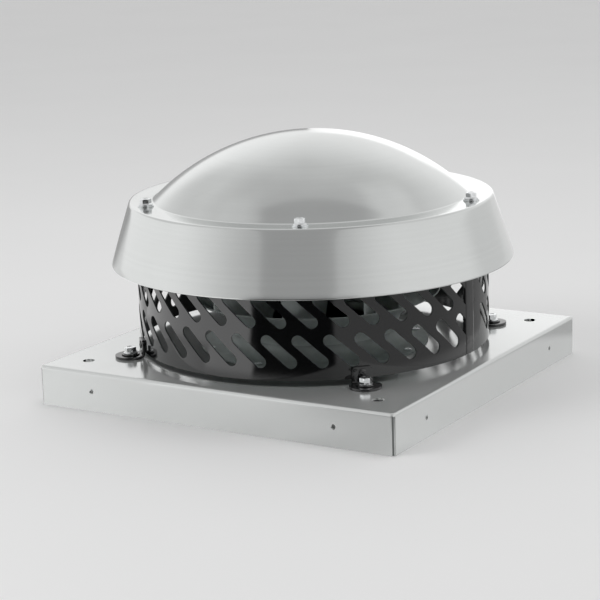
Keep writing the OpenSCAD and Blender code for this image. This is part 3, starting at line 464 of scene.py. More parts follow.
# %% The finishes of this fan
METAL = {"Metallic": 1.0}
GUARD_DUST = (0.03, srgb("#6f6c66"))
FINISHES = {name: finished(name, *row) for name, row in {
    # The corner tabs' dark grey is painted shade in the plate's corner grooves.
    "tab_painted_shade": (PAINT_FILM, "#6e7271", {}, (0.5, 0.001, 0.00001, 0.1, 0.2), (0.2, 0.01)),
    "guard_paint": (PAINT_FILM, "#060708", {"Specular IOR Level": 1.0},
                    (0.08, 0.003, 0.000012, 0.1, 0.1), (0.02, *GUARD_DUST)),
    "guard_weld": (PAINT_FILM, "#0b0c0d", {"Specular IOR Level": 1.0},
                   (0.1, 0.006, 0.00025, 0.2, 0.1), (0.04, *GUARD_DUST)),
    # The guard's cut walls are lighter grey than its paint: a painted highlight round the slots.
    "guard_rim_highlight": (PAINT_FILM, "#393d3d", {"Specular IOR Level": 0.8},
                   (0.3, 0.002, 0.00001, 0.15, 0.2), (0.05, 0.02)),
    "zinc": (SPANGLE, "#f0f2f3", METAL, (0.16, 0.0012, 0.1), (0.06, 0.006)),
    "galvanised": (SPANGLE, "#b4bcba", {"Metallic": 0.4}, (0.5, 0.007, 0.1), (0.15, 0.03)),
    "impeller_sheet": (SPANGLE, "#ccd4d2", {"Metallic": 0.35}, (0.42, 0.005, 0.1),
                       (0.15, 0.02)),
    "motor_alloy": (PAINT_FILM, "#a3a5a6", {"Metallic": 0.9},
                    (0.45, 0.0009, 0.00003, 0.12, 0.08), (0.1, 0.02)),
    "rotor_paint": (PAINT_FILM, "#202224", {}, (0.45, 0.001, 0.00002, 0.15, 0.1), (0.15, 0.02)),
    "bearing_steel": (TOOL_LINES, "#c4c6c9", METAL, (0.2, 0.0002, 0.000002), (0.02,)),
    "cage_brass": (TOOL_LINES, "#c8a860", METAL, (0.3, 0.0003, 0.000002), (0.03,)),
    "lamination": (TOOL_LINES, "#70747a", {"Metallic": 0.9}, (0.5, 0.0005, 0.00004, 0.2),
                   (0.05,)),
    "copper": (TOOL_LINES, "#b5602e", {"Metallic": 0.8, "Coat Weight": 0.5},
               (0.3, 0.0007, 0.0002, 0.1), (0.05,)),
    "box_plastic": (PAINT_FILM, "#2c2f31", {}, (0.5, 0.0007, 0.00002, 0.08, 0.05),
                    (0.15, 0.015)),
    "capacitor_can": (PAINT_FILM, "#d9dad6", {}, (0.35, 0.0008, 0.00001, 0.04, 0.04),
                      (0.12, 0.015)),
    "black_rubber": (PAINT_FILM, "#17181a", {}, (0.65, 0.0006, 0.00002, 0.2, 0.15), (0.2, 0.01)),
}.items()}
FINISHES["cowl_paint"] = cowl_finish()
FINISHES["plate_paint"] = plate_finish()
slot_of = {}
for name, node in nodes.items():
    slot_of[name] = node.material_slots[0].material.name.split(".")[0]
    node.material_slots[0].material = FINISHES[slot_of[name]]
print("finishes", len(FINISHES), "on", len(slot_of), "solids")


# %% [markdown]
# ## Meshes from rings and grids
# Turned and hexagonal pieces are skins over a stack of rings, drawn once at the origin. A ring is
# a radius and a height, or a rule that gives them for each angle, as a hexagon needs.


# %% Mesh helpers
def placed(name, data):
    """An object of a mesh or lamp, in the scene."""
    thing = bpy.data.objects.new(name, data)
    scene.collection.objects.link(thing)
    return thing


def make_object(name, vertices, faces, finish=None):
    """An object of these vertices, given in millimetres."""
    mesh = bpy.data.meshes.new(name)
    mesh.from_pydata([tuple(c * MM for c in v) for v in vertices], [], faces)
    if finish:
        mesh.materials.append(FINISHES[finish])
    return placed(name, mesh)


def smooth(thing, angle=30):
    """Smooth shading, with edges sharper than an angle kept crisp."""
    thing.data.shade_smooth()
    thing.data.set_sharp_from_angle(angle=radians(angle))
    return thing


def quads(rows, count, start=0, open_rows=False, loop=False):
    """Quads between rows of so many points; a loop joins the last row to the first."""
    return [tuple(start + (i + up) % rows * count + (k + along) % count
                  for up, along in ((0, 0), (0, 1), (1, 1), (1, 0)))
            for i in range(rows if loop else rows - 1)
            for k in range(count - 1 if open_rows else count)]


def tube(rows, count, start=0):
    """Quads round a stack of outlines, with a cap at each end."""
    end = start + (rows - 1) * count
    return [*quads(rows, count, start), tuple(reversed(range(start, start + count))),
            tuple(range(end, end + count))]


def skin(name, rings, segments=48, closed=False, finish=None, lay=None):
    """Skin a stack of rings; closed joins the last ring to the first, else both ends are capped."""
    vertices = []
    for ring in rings:
        for k in range(segments):
            angle = 2 * pi * k / segments
            radius, height = ring(angle) if callable(ring) else ring
            vertices.append((radius * cos(angle), radius * sin(angle), height))
    rows = len(rings)
    faces = quads(rows, segments, loop=True) if closed else tube(rows, segments)
    if lay:
        vertices = [lay(v) for v in vertices]
    return smooth(make_object(name, vertices, faces, finish))


def arc(x, z, radius, start, end, steps):
    """Points of an arc between two angles in degrees."""
    angles = [radians(start + (end - start) * i / steps) for i in range(steps + 1)]
    return [(x + radius * cos(a), z + radius * sin(a)) for a in angles]


def line(a, b, steps):
    """Even steps from one point towards another, without the last."""
    return [tuple(p + (q - p) * i / steps for p, q in zip(a, b)) for i in range(steps)]


def modify(thing, name, kind, **settings):
    """Add a modifier with its settings."""
    modifier = thing.modifiers.new(name, kind)
    for key, value in settings.items():
        setattr(modifier, key, value)
    return modifier


def round_edges(thing, width, sharper_than=50):
    modify(thing, "edge", "BEVEL", width=width * MM, segments=2, limit_method="ANGLE",
           angle_limit=radians(sharper_than))


def baked(thing):
    """What a piece's modifiers make of it, as a new mesh."""
    graph = bpy.context.evaluated_depsgraph_get()
    return bpy.data.meshes.new_from_object(thing.evaluated_get(graph), depsgraph=graph)


def applied(thing):
    """Turn a piece's modifiers into plain mesh."""
    mesh = baked(thing)
    thing.modifiers.clear()
    thing.data = mesh
    return thing


def seat(piece, body, *replaced):
    """Set a finished piece on its body in place of solids."""
    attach(piece, body)
    if replaced:
        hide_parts(*replaced)
    print(piece.name, "has", len(piece.data.polygons), "faces")
    return piece


def rigged(tree):
    """The identifiers of a geometry tree's inputs, by name."""
    return {item.name: item.identifier for item in tree.interface.items_tree
            if item.item_type == "SOCKET" and item.in_out == "INPUT"}


def grow(name, tree, values):
    """Run a geometry tree once, with every input set, and keep its result as a plain mesh."""
    seed = make_object(name + "_seed", [], [])
    modifier = modify(seed, "grow", "NODES", node_group=tree)
    for label, identifier in rigged(tree).items():
        modifier[identifier] = values[label]
    mesh, seed_mesh = baked(seed), seed.data
    bpy.data.objects.remove(seed)
    bpy.data.meshes.remove(seed_mesh)
    mesh.name = name
    return placed(name, mesh)


def discard(*things):
    for thing in things:
        bpy.data.objects.remove(thing)


# %% [markdown]
# ## Steps that the geometry trees share
# Each geometry tree below sets points round the axis, takes shapes from template objects and ends
# with real mesh in one finish. These steps are written once, so that each tree shows only what is
# its own. A grid numbers its points line by line, and from that number the tree finds the line.


# %% Shared steps
def shape_of(tree, thing):
    return put(tree, "GeometryNodeObjectInfo", {"Object": thing}).outputs["Geometry"]


def round_axis(tree, radius, angle, height):
    """A place at a radius and angle round the axis."""
    return joined(tree, mul(tree, radius, calc(tree, "COSINE", angle)),
                  mul(tree, radius, calc(tree, "SINE", angle)), height)


def grid_place(tree, width):
    """The line that a point is in and its place there, when a line holds width points."""
    index = put(tree, "GeometryNodeInputIndex").outputs[0]
    line_number = calc(tree, "FLOOR", div(tree, add(tree, index, 0.5), width))
    return line_number, sub(tree, index, mul(tree, line_number, width))


FINE_WELD, BAND_WELD = 0.000001, 0.00005


def welded(tree, sheet, place, distance):
    """Move a sheet's points to their places and weld those that meet there."""
    moved = put(tree, "GeometryNodeSetPosition", {"Geometry": sheet, "Position": place})
    return put(tree, "GeometryNodeMergeByDistance", {"Geometry": moved, "Distance": distance})


def close_tree(tree, given, result, geometry):
    """Make copies real, give them the finish and put them out."""
    real = put(tree, "GeometryNodeRealizeInstances", {"Geometry": geometry})
    done = put(tree, "GeometryNodeSetMaterial", {"Geometry": real, "Material": given["Finish"]})
    return give(tree, result, {"Geometry": done.outputs[0]})


# %% [markdown]
# ## Tree: a ring of copies
# Bolts, washers, nuts and rivets stand in circles. One template is drawn at the origin, and this
# tree sets copies of it round the axis. A small random turn, from a fixed seed, keeps the heads
# from all pointing the same way, as on a real fan where each was tightened by hand.


# %% Build the ring tree
def make_ring_tree():
    tree, given, result = start_group(
        "ring_of_copies", "GeometryNodeTree",
        {"Copy": "Object", "Count": 4, "Circle Radius": 0.1, "Height": 0.0, "First Angle": 0.0,
         "Random Turn": 0.0, "Seed": 1, "Finish": "Material"}, {"Geometry": "Geometry"})
    index = put(tree, "GeometryNodeInputIndex").outputs[0]
    step = div(tree, 2 * pi, given["Count"])
    angle = add(tree, given["First Angle"], mul(tree, index, step))
    place = round_axis(tree, given["Circle Radius"], angle, given["Height"])
    points = put(tree, "GeometryNodePoints", {"Count": given["Count"], "Position": place})
    chance = put(tree, "FunctionNodeRandomValue", {
        "Min": -1.0, "Max": 1.0, "ID": index, "Seed": given["Seed"]}, data_type="FLOAT")
    turn = mul(tree, socket_of(chance.outputs, "Value"), given["Random Turn"])
    copies = put(tree, "GeometryNodeInstanceOnPoints", {
        "Points": points, "Instance": shape_of(tree, given["Copy"]),
        "Rotation": joined(tree, z=add(tree, angle, turn))})
    return close_tree(tree, given, result, copies)


RING_TREE = make_ring_tree()


def ring_of(name, copy, finish, count, radius, height, first, turn=0.0, seed=1):
    """Copies of a template round the axis; radius and height are in millimetres."""
    return grow(name, RING_TREE, {
        "Copy": copy, "Count": count, "Circle Radius": radius * MM, "Height": height * MM,
        "First Angle": first, "Random Turn": turn, "Seed": seed, "Finish": FINISHES[finish]})


# %% [markdown]
# ## Tree: spun sheet
# The cowl, the nozzle and the impeller's shroud are spun: a flat disc is pressed over a turning
# form. This tree does the same. It takes the closed half section of the sheet, drawn point by
# point, and carries it round the axis on a grid, so the section alone decides the shape.


# %% Build the spinning tree
def make_spin_tree():
    tree, given, result = start_group(
        "spun_sheet", "GeometryNodeTree",
        {"Section": "Object", "Section Points": 8, "Segments": 128, "Finish": "Material"},
        {"Geometry": "Geometry"})
    grid = put(tree, "GeometryNodeMeshGrid", {
        "Vertices X": add(tree, given["Segments"], 1.0), "Vertices Y": given["Section Points"]})
    column, row = grid_place(tree, given["Section Points"])
    angle = mul(tree, column, div(tree, 2 * pi, given["Segments"]))
    sample = put(tree, "GeometryNodeSampleIndex", {
        "Geometry": shape_of(tree, given["Section"]),
        "Value": put(tree, "GeometryNodeInputPosition"),
        "Index": calc(tree, "ROUND", row)}, data_type="FLOAT_VECTOR", domain="POINT")
    point = split(tree, socket_of(sample.outputs, "Value"))
    place = round_axis(tree, point[0], angle, point[2])
    return close_tree(tree, given, result, welded(tree, grid, place, FINE_WELD))


SPIN_TREE = make_spin_tree()


def spin(name, section, finish, segments=192):
    """Spin a closed section, drawn with the sheet on the left of its path, in millimetres."""
    loop = [*section, section[0]]
    outline = make_object(name + "_section", [(r, 0, z) for r, z in loop], [])
    piece = grow(name, SPIN_TREE, {
        "Section": outline, "Section Points": len(loop), "Segments": segments,
        "Finish": FINISHES[finish]})
    discard(outline)
    return smooth(piece)


# %% [markdown]
# ## The cowl
# One disc of sheet is spun into dome, flat rim and sloping skirt, and the skirt's edge is folded
# inside as a hem, which stiffens it and hides the cut. The section follows the outside of the
# sheet up to the top of the dome and comes back along its inside.


# %% Section and mesh of the cowl
def skirt_spot(height, inset):
    return (SKIRT_BOTTOM_R - inset / cos(SKIRT_LEAN) - height * tan(SKIRT_LEAN),
            SKIRT_Z + height)


def cowl_line(inset):
    """The cowl from its lower edge to its top, at a depth inside the sheet."""
    top, bend = FLANGE_TOP - inset, COWL_BEND - inset
    bend_r = (SKIRT_TOP_R - inset / cos(SKIRT_LEAN) + inset * tan(SKIRT_LEAN)
              - bend * tan((pi / 2 - SKIRT_LEAN) / 2))
    bend_arc = arc(bend_r, top - bend, bend, degrees(SKIRT_LEAN), 90, 8)
    fillet, dome = DOME_FILLET + inset, DOME_R - inset
    fillet_z = top + fillet
    fillet_r = sqrt((dome + fillet) ** 2 - (fillet_z - DOME_Z) ** 2)
    touch = degrees(atan2(fillet_z - DOME_Z, fillet_r))
    return [skirt_spot(COWL_SHEET, inset), *line(skirt_spot(HEM_H, inset), bend_arc[0], 6),
            *bend_arc, *line((bend_r, top), (fillet_r, top), 4)[1:],
            *arc(fillet_r, fillet_z, fillet, -90, touch - 180, 6),
            *arc(0, DOME_Z, dome, touch, 90, 44)[1:]]


hem_inside = [skirt_spot(HEM_H, COWL_SHEET * f) for f in (1.15, 1.85)] + [
    skirt_spot(h, 2 * COWL_SHEET) for h in (HEM_H - 0.4, HEM_H / 2, COWL_SHEET)]
turn_round = [skirt_spot(COWL_SHEET * (1 - sin(radians(a))), COWL_SHEET * (1 - cos(radians(a))))
              for a in range(165, 0, -15)]
cowl = spin("cowl_sheet", [*cowl_line(0), *reversed(cowl_line(COWL_SHEET)[1:]), *hem_inside,
                           *turn_round], "cowl_paint", 288)
seat(cowl, "housing", "cowl")

# %% [markdown]
# ## Nozzle and shroud
# The nozzle is a bell mouth that guides air into the impeller's eye. The shroud is the impeller's
# lower cone, whose mouth runs just outside the nozzle. Both are spun sheet, drawn as before.

# %% Sections and meshes of nozzle and shroud
nozzle_section = [
    (BELL_R + NOZZLE_FLANGE, PLATE_TOP), (BELL_R + NOZZLE_FLANGE, PLATE_TOP + NOZZLE_SHEET),
    *arc(BELL_R, BELL_Z, NOZZLE_CURVE - NOZZLE_SHEET, 270, 180, 12),
    (THROAT_R + NOZZLE_SHEET, NOZZLE_TOP - 0.4), (THROAT_R + NOZZLE_SHEET - 0.4, NOZZLE_TOP),
    (THROAT_R + 0.4, NOZZLE_TOP), (THROAT_R, NOZZLE_TOP - 0.4),
    *arc(BELL_R, BELL_Z, NOZZLE_CURVE, 180, 270, 12)]
seat(spin("nozzle_bell", nozzle_section, "galvanised"), "housing", "inlet_nozzle")

CURVE_R, CURVE_Z = MOUTH_R + SHROUD_CURVE, MOUTH_Z + MOUTH_STRAIGHT
rim_away = hypot(IMPELLER_R - CURVE_R, RIM_Z - CURVE_Z)
TANGENT = degrees(atan2(RIM_Z - CURVE_Z, IMPELLER_R - CURVE_R) + acos(SHROUD_CURVE / rim_away))
lean = radians(TANGENT - 90)
under = (IMPELLER_R + IMPELLER_SHEET * sin(lean), RIM_Z - IMPELLER_SHEET * cos(lean))
shroud_section = [
    (MOUTH_R + IMPELLER_SHEET, MOUTH_Z), (MOUTH_R + IMPELLER_SHEET, MOUTH_Z + 1),
    *arc(CURVE_R, CURVE_Z, SHROUD_CURVE - IMPELLER_SHEET, 180, TANGENT, 12),
    under, (IMPELLER_R, RIM_Z),
    *arc(CURVE_R, CURVE_Z, SHROUD_CURVE, TANGENT, 180, 12), (MOUTH_R, MOUTH_Z + 1),
    (MOUTH_R, MOUTH_Z)]
seat(spin("shroud_cone", shroud_section, "impeller_sheet"), "rotor", "impeller_shroud")


# %% [markdown]
# ## Bolts, washers, nuts and rivets
# The cowl and the lugs are held by hexagon bolts with a flange under the head. The head is hot
# forged: its corners are cut by a cone, and its top has a shallow dish. The hexagon is a rule for
# the ring's radius, and the cone lowers each corner by as much as it sticks out.


# %% Templates of the fasteners
def hex_radius(angle, across_flats):
    return across_flats / 2 / cos((angle + pi / 6) % (pi / 3) - pi / 6)


def hex_ring(scale, height, drop=0.0):
    """A ring on the hexagon, lowered by drop times its reach past the flats."""
    def rule(angle):
        radius = hex_radius(angle, BOLT_AF) * scale
        return radius, height - drop * (radius - BOLT_AF / 2 * scale)
    return rule


def thread(z_from, z_to, radius, pitch=1.0, depth=0.3):
    """Rings that wind a thread round a shank."""
    steps = int(abs(z_to - z_from) / pitch * 4)

    def ring(i):
        height = z_from + (z_to - z_from) * i / steps
        ends = min(1.0, i / 4, (steps - i) / 4)

        def rule(angle):
            phase = (height / pitch - angle / (2 * pi)) % 1.0
            return radius - depth * ends * abs(2 * phase - 1), height
        return rule
    return [ring(i) for i in range(steps + 1)]


FLANGE_EDGE = 1.0
bolt = skin("bolt_template", [
    (BOLT_R * 0.5, -BOLT_LEN), (BOLT_R * 0.75, -BOLT_LEN),
    *thread(-BOLT_LEN + 0.4, -0.6, BOLT_R), (BOLT_R, 0),
    (BOLT_FLANGE_R - 0.3, 0), (BOLT_FLANGE_R, 0.3), (BOLT_FLANGE_R, FLANGE_EDGE),
    (BOLT_FLANGE_R - 0.25, FLANGE_EDGE + 0.25),
    hex_ring(1.06, 2.0), hex_ring(1.0, 2.35), hex_ring(1.0, 3.5),
    hex_ring(1.0, BOLT_HEAD - 0.35, 0.58), hex_ring(0.96, BOLT_HEAD - 0.08, 0.4),
    (BOLT_AF / 2 * 0.9, BOLT_HEAD), (BOLT_AF / 2 * 0.68, BOLT_HEAD),
    (BOLT_AF / 2 * 0.6, BOLT_HEAD - 0.35), (BOLT_AF / 2 * 0.3, BOLT_HEAD - 0.5)], 48)
nut = skin("nut_template", [
    (BOLT_R, -NUT_H + 0.3), (BOLT_R + 0.4, -NUT_H), (BOLT_AF / 2 * 0.92, -NUT_H),
    hex_ring(1.0, -NUT_H + 0.25, -0.58), hex_ring(1.0, -0.25, 0.58),
    (BOLT_AF / 2 * 0.92, 0), (BOLT_R + 0.4, 0), (BOLT_R, -0.3)], 48, closed=True)


def washer_rings(radius):
    edge = 0.2
    return [(BOLT_HOLE_R, edge), (BOLT_HOLE_R + edge, 0), (radius - edge, 0), (radius, edge),
            (radius, WASHER_T - edge), (radius - edge, WASHER_T), (BOLT_HOLE_R + edge, WASHER_T),
            (BOLT_HOLE_R, WASHER_T - edge)]


def rivet_rings(grip):
    """A blind rivet: upset end, body, domed head and the dimple that its mandrel leaves."""
    head = 2 * RIVET_R
    dome = [(head * cos(radians(a)), 0.25 + 0.95 * sin(radians(a))) for a in range(0, 75, 12)]
    return [(RIVET_R * 0.6, -grip - 2.4), (RIVET_R * 1.3, -grip - 2.2),
            (RIVET_R * 1.5, -grip - 1.2), (RIVET_R * 1.3, -grip - 0.1), (RIVET_R, -grip),
            (RIVET_R, 0), (head - 0.2, 0), *dome, (RIVET_R * 0.55, 1.12),
            (RIVET_R * 0.5, 0.7), (RIVET_R * 0.2, 0.6)]


lug_washer = skin("lug_washer_template", washer_rings(LUG_WASHER_R), 48, closed=True)
cowl_washer = skin("cowl_washer_template", washer_rings(COWL_WASHER_R), 48, closed=True)
lug_rivet = skin("lug_rivet_template", rivet_rings(LUG_SHEET + GUARD_SHEET), 32,
                 lay=lambda v: (v[2], v[1], -v[0]))
nozzle_rivet = skin("nozzle_rivet_template", rivet_rings(NOZZLE_SHEET + PLATE_SHEET), 32)

# %% Set the fasteners in their circles
LUG_FIRST = radians(-45)
LUG_SEAT = PLATE_TOP + LUG_SHEET
UNDER_GUARD_FLANGE = GUARD_TOP - GUARD_SHEET
COWL_CIRCLE = (COWL_BOLTS, COWL_BOLT_R, COWL_BOLT_ANGLE)
LUG_CIRCLE = (4, LUG_R, LUG_FIRST)
for name, copy, (count, radius, first), height, turn, seed in (
        ("cowl_bolts", bolt, COWL_CIRCLE, FLANGE_TOP + WASHER_T, 0.5, 3),
        ("cowl_nuts", nut, COWL_CIRCLE, UNDER_GUARD_FLANGE, 0.5, 4),
        ("cowl_washers", cowl_washer, COWL_CIRCLE, FLANGE_TOP, 0, 1),
        ("lug_bolts", bolt, LUG_CIRCLE, LUG_SEAT + WASHER_T, 0.5, 5),
        ("lug_nuts", nut, LUG_CIRCLE, PLATE_TOP - PLATE_SHEET, 0.5, 6),
        ("lug_washers", lug_washer, LUG_CIRCLE, LUG_SEAT, 0, 1),
        ("lug_rivets", lug_rivet, (4, GUARD_R + LUG_SHEET, LUG_FIRST), LUG_RIVET_Z, 0, 1),
        ("nozzle_rivets", nozzle_rivet, (8, NOZZLE_RIVET_R, 0), PLATE_TOP + NOZZLE_SHEET, 0.5,
         7)):
    seat(ring_of(name + "_set", copy, slot_of[name], count, radius, height, first, turn, seed),
         "housing", name)
discard(bolt, nut, lug_washer, cowl_washer, lug_rivet, nozzle_rivet)


# %% [markdown]
# ## The guard ring
# The guard is a strip of sheet punched with slanting slots, painted black and rolled into a ring.
# It is made here in that order. One slot with the sheet round it is drawn flat, as a slanting
# tile whose sides run beside the slot. The tree lays tiles in rows and columns, closes the ring
# with plain sheet, and rolls everything onto the ring's radius.


# %% Flat tiles of the guard
SLOT_RUN = SLOT_LEN - SLOT_W
SLOT_REACH, SLOT_RISE = SLOT_RUN * sin(SLOT_LEAN), SLOT_RUN * cos(SLOT_LEAN)
ROW_STEP = SLOT_RISE + SLOT_W + SLOT_GAP
TILE_W = GUARD_R * SLOT_STEP
ROW_SHIFT = GUARD_R * radians(-2.9)
TILE_SLANT = (ROW_SHIFT - TILE_W) / ROW_STEP
FOOT_TOP = SLOT_BAND - SLOT_GAP / 2
GAP_W = 2 * pi * GUARD_R - SLOT_COUNT * TILE_W
FIRST_SLOT = SEAM_ANGLE + radians(0.3)
ACROSS, ALONG, ENDS, GAP_STEPS = 6, 10, 8, 4
EDGE_ROW = 0.9


def slot_outline(radius):
    """Points round the slot at a distance from its middle line, counter-clockwise."""
    x, z = SLOT_REACH / 2, SLOT_RISE / 2
    low = arc(x, -z, radius, 225, 405, ENDS)
    high = arc(-x, z, radius, 45, 225, ENDS)
    return [*low, *line(low[-1], high[0], ENDS)[1:], *high, *line(high[-1], low[0], ENDS)[1:]]


def tile_outline(width):
    """Points round the slanting tile, counter-clockwise from its lower left corner."""
    corners = [(x * width / 2, z * ROW_STEP / 2) for x, z in ((-1, -1), (1, -1), (1, 1), (-1, 1))]
    points = []
    for i, steps in enumerate((ACROSS, ALONG, ACROSS, ALONG)):
        points += line(corners[i], corners[(i + 1) % 4], steps)
    return [(u + TILE_SLANT * z, z) for u, z in points]


def sheet_of(name, rows, faces):
    """A flat sheet over rows of points."""
    return make_object(name, [(x, 0, z) for row in rows for x, z in row], faces)


def slot_tile():
    edge = tile_outline(TILE_W)
    wide = slot_outline(SLOT_W / 2 + EDGE_ROW)
    mid = [((a[0] + b[0]) / 2, (a[1] + b[1]) / 2) for a, b in zip(wide, edge)]
    loops = [slot_outline(SLOT_W / 2), wide, mid, edge]
    return sheet_of("slot_tile", loops, [
        (a, d, c, b) for a, b, c, d in quads(len(loops), len(edge))])


def strip(name, rows):
    """A sheet of quads over rows of flat points, from the bottom row up."""
    return sheet_of(name, rows, quads(len(rows), len(rows[0]), open_rows=True))


def row_edge(shift):
    """Where the tiles' corners fall along a row's edge, over the whole ring."""
    left = -(SLOT_COUNT - 0.5) * TILE_W + shift
    tiles = [left + TILE_W * k / ACROSS for k in range(SLOT_COUNT * ACROSS)]
    start = left + SLOT_COUNT * TILE_W
    return tiles + [start + GAP_W * k / GAP_STEPS for k in range(GAP_STEPS + 1)]


gap_tile = strip("gap_tile", [
    [(TILE_W / 2 + GAP_W * k / GAP_STEPS + TILE_SLANT * z, z) for k in range(GAP_STEPS + 1)]
    for z in [ROW_STEP * (i / ALONG - 0.5) for i in range(ALONG + 1)]])
bottom = row_edge(-TILE_SLANT * ROW_STEP / 2)
foot_strip = strip("foot_strip", [[(x, z) for x in bottom] for z in (0, EDGE_ROW, 5, FOOT_TOP)])
top = row_edge(TILE_SLANT * ROW_STEP / 2 + (SLOT_ROWS - 1) * ROW_SHIFT)
head_low = FOOT_TOP + SLOT_ROWS * ROW_STEP
head_strip = strip("head_strip", [[(x, z) for x in top] for z in (
    head_low, (head_low + GUARD_H) / 2, GUARD_H - EDGE_ROW, GUARD_H)])
slot_cell = slot_tile()
print("tile", round(TILE_W, 2), "x", round(ROW_STEP, 2), "mm, plain gap", round(GAP_W, 2))


# %% Build the rolling tree
def make_band_tree():
    tree, given, result = start_group(
        "slotted_band", "GeometryNodeTree",
        {"Slot Tile": "Object", "Gap Tile": "Object", "Foot Strip": "Object",
         "Head Strip": "Object", "Columns": 8, "Rows": 3, "Tile Width": 0.03,
         "Row Step": 0.037, "Row Shift": 0.0, "First Row Height": 0.03, "Ring Radius": 0.178,
         "First Angle": 0.0, "Foot Height": 0.046, "Finish": "Material"},
        {"Geometry": "Geometry"})

    def lay(label, count, column, row):
        x = add(tree, mul(tree, row, given["Row Shift"]),
                mul(tree, column, -1.0, given["Tile Width"]))
        z = add(tree, mul(tree, row, given["Row Step"]), given["First Row Height"])
        points = put(tree, "GeometryNodePoints", {
            "Count": count, "Position": joined(tree, x, 0.0, z)})
        return put(tree, "GeometryNodeInstanceOnPoints", {
            "Points": points, "Instance": shape_of(tree, given[label])}).outputs[0]

    row, column = grid_place(tree, given["Columns"])
    index = put(tree, "GeometryNodeInputIndex").outputs[0]
    sheet = put(tree, "GeometryNodeJoinGeometry")
    for part in (lay("Slot Tile", mul(tree, given["Columns"], given["Rows"]), column, row),
                 lay("Gap Tile", given["Rows"], 0.0, index),
                 shape_of(tree, given["Foot Strip"]), shape_of(tree, given["Head Strip"])):
        tree.links.new(part, sheet.inputs[0])
    flat = put(tree, "GeometryNodeRealizeInstances", {"Geometry": sheet})
    point = split(tree, put(tree, "GeometryNodeInputPosition"))
    angle = add(tree, given["First Angle"], div(tree, point[0], given["Ring Radius"]))
    place = round_axis(tree, given["Ring Radius"], angle,
                       add(tree, point[2], given["Foot Height"]))
    return close_tree(tree, given, result, welded(tree, flat, place, BAND_WELD))


BAND_TREE = make_band_tree()
guard = grow("guard_band", BAND_TREE, {
    "Slot Tile": slot_cell, "Gap Tile": gap_tile, "Foot Strip": foot_strip,
    "Head Strip": head_strip, "Columns": SLOT_COUNT, "Rows": SLOT_ROWS,
    "Tile Width": TILE_W * MM, "Row Step": ROW_STEP * MM, "Row Shift": ROW_SHIFT * MM,
    "First Row Height": (FOOT_TOP + ROW_STEP / 2) * MM, "Ring Radius": GUARD_R * MM,
    "First Angle": FIRST_SLOT, "Foot Height": GUARD_Z * MM,
    "Finish": FINISHES["guard_paint"]})
discard(slot_cell, gap_tile, foot_strip, head_strip)
print("rolled band", len(guard.data.polygons), "faces")


# %% Cut the seam, give the sheet its thickness and round the punched edges
def middle_angle(face):
    return atan2(*face.calc_center_median().yx)


def cut_seam(thing, angle, width):
    """Take an upright strip out of the band, up to an angle, where its two ends meet."""
    work = bmesh.new()
    work.from_mesh(thing.data)
    limits = [angle - width / GUARD_R, angle]
    for limit in limits:
        near = [f for f in work.faces if abs(middle_angle(f) - angle) < radians(20)]
        around = {g for f in near for g in (f, *f.edges, *f.verts)}
        bmesh.ops.bisect_plane(work, geom=list(around), dist=0.0000005,
                               plane_co=(0, 0, 0), plane_no=(-sin(limit), cos(limit), 0))
    gone = [f for f in work.faces if limits[0] < middle_angle(f) < limits[1]]
    bmesh.ops.delete(work, geom=gone, context="FACES")
    work.to_mesh(thing.data)
    work.free()


SEAM_END = SEAM_ANGLE + SEAM_W / GUARD_R
cut_seam(guard, SEAM_END, SEAM_W - SEAM_GROOVE)
# Solidify gives the rim faces, the slots' cut walls and the sheet's edges, the second finish, whose
# lighter grey paints a highlight on them.
modify(guard, "wall", "SOLIDIFY", thickness=GUARD_SHEET * MM, offset=-1, material_offset_rim=1)
guard.data.materials.append(FINISHES["guard_rim_highlight"])
round_edges(guard, 0.3)
applied(guard)


ON_WALL = 0.00002


def round_normals(thing, outer, inner):
    """Shade the wall as a true cylinder: its normals point straight out, or straight in."""
    mesh = smooth(thing, 60).data
    normals = [Vector(n.vector) for n in mesh.corner_normals]
    for loop in mesh.loops:
        normal, (x, y, z) = normals[loop.index], mesh.vertices[loop.vertex_index].co
        radius = hypot(x, y)
        straight = Vector((x / radius, y / radius, 0))
        if abs(normal.z) < 0.5:
            if radius > outer * MM - ON_WALL and normal.dot(straight) > 0.3:
                normals[loop.index] = straight
            elif radius < inner * MM + ON_WALL and normal.dot(straight) < -0.3:
                normals[loop.index] = -straight
    mesh.normals_split_custom_set(normals)


round_normals(guard, GUARD_R, GUARD_R - GUARD_SHEET)
lap_r = GUARD_R - GUARD_SHEET
flange_r, flange_low = lap_r - GUARD_FLANGE, GUARD_TOP - GUARD_SHEET
guard_flange = spin("guard_flange", [
    (lap_r + 0.1, flange_low), (lap_r + 0.1, GUARD_TOP - 0.1), (flange_r + 0.4, GUARD_TOP - 0.1),
    (flange_r, GUARD_TOP - 0.5), (flange_r, flange_low + 0.3), (flange_r + 0.3, flange_low)],
    "guard_paint")


# %% The lap, where the ends of the ring overlap
def lap_strip():
    """The outer end of the sheet, with the inner end behind the groove at its edge."""
    step, ease = SEAM_ANGLE + 2 * SEAM_GROOVE / GUARD_R, 0.3 / GUARD_R
    inner, middle = lap_r - GUARD_SHEET, lap_r - 0.05
    spread = [k / 8 for k in range(9)]
    around = [(SEAM_ANGLE, middle), (SEAM_ANGLE, inner + 0.3)]
    around += [(SEAM_ANGLE + ease + (SEAM_END - SEAM_ANGLE - 2 * ease) * f, inner) for f in spread]
    around += [(SEAM_END, inner + 0.3), (SEAM_END, GUARD_R - 0.3)]
    around += [(SEAM_END - ease + (step - SEAM_END + 2 * ease) * f, GUARD_R) for f in spread]
    around += [(step, GUARD_R - 0.3), (step, middle)]
    heights = (GUARD_Z + 0.05, GUARD_Z + GUARD_H / 2, GUARD_TOP - GUARD_SHEET - 0.3)
    vertices = [(r * cos(a), r * sin(a), z) for z in heights for a, r in around]
    return make_object("guard_lap", vertices, tube(len(heights), len(around)), "guard_weld")


lap = lap_strip()
round_normals(lap, GUARD_R, lap_r - GUARD_SHEET)
seat(guard, "housing", "guard_ring")
for piece in (guard_flange, lap):
    seat(piece, "housing")


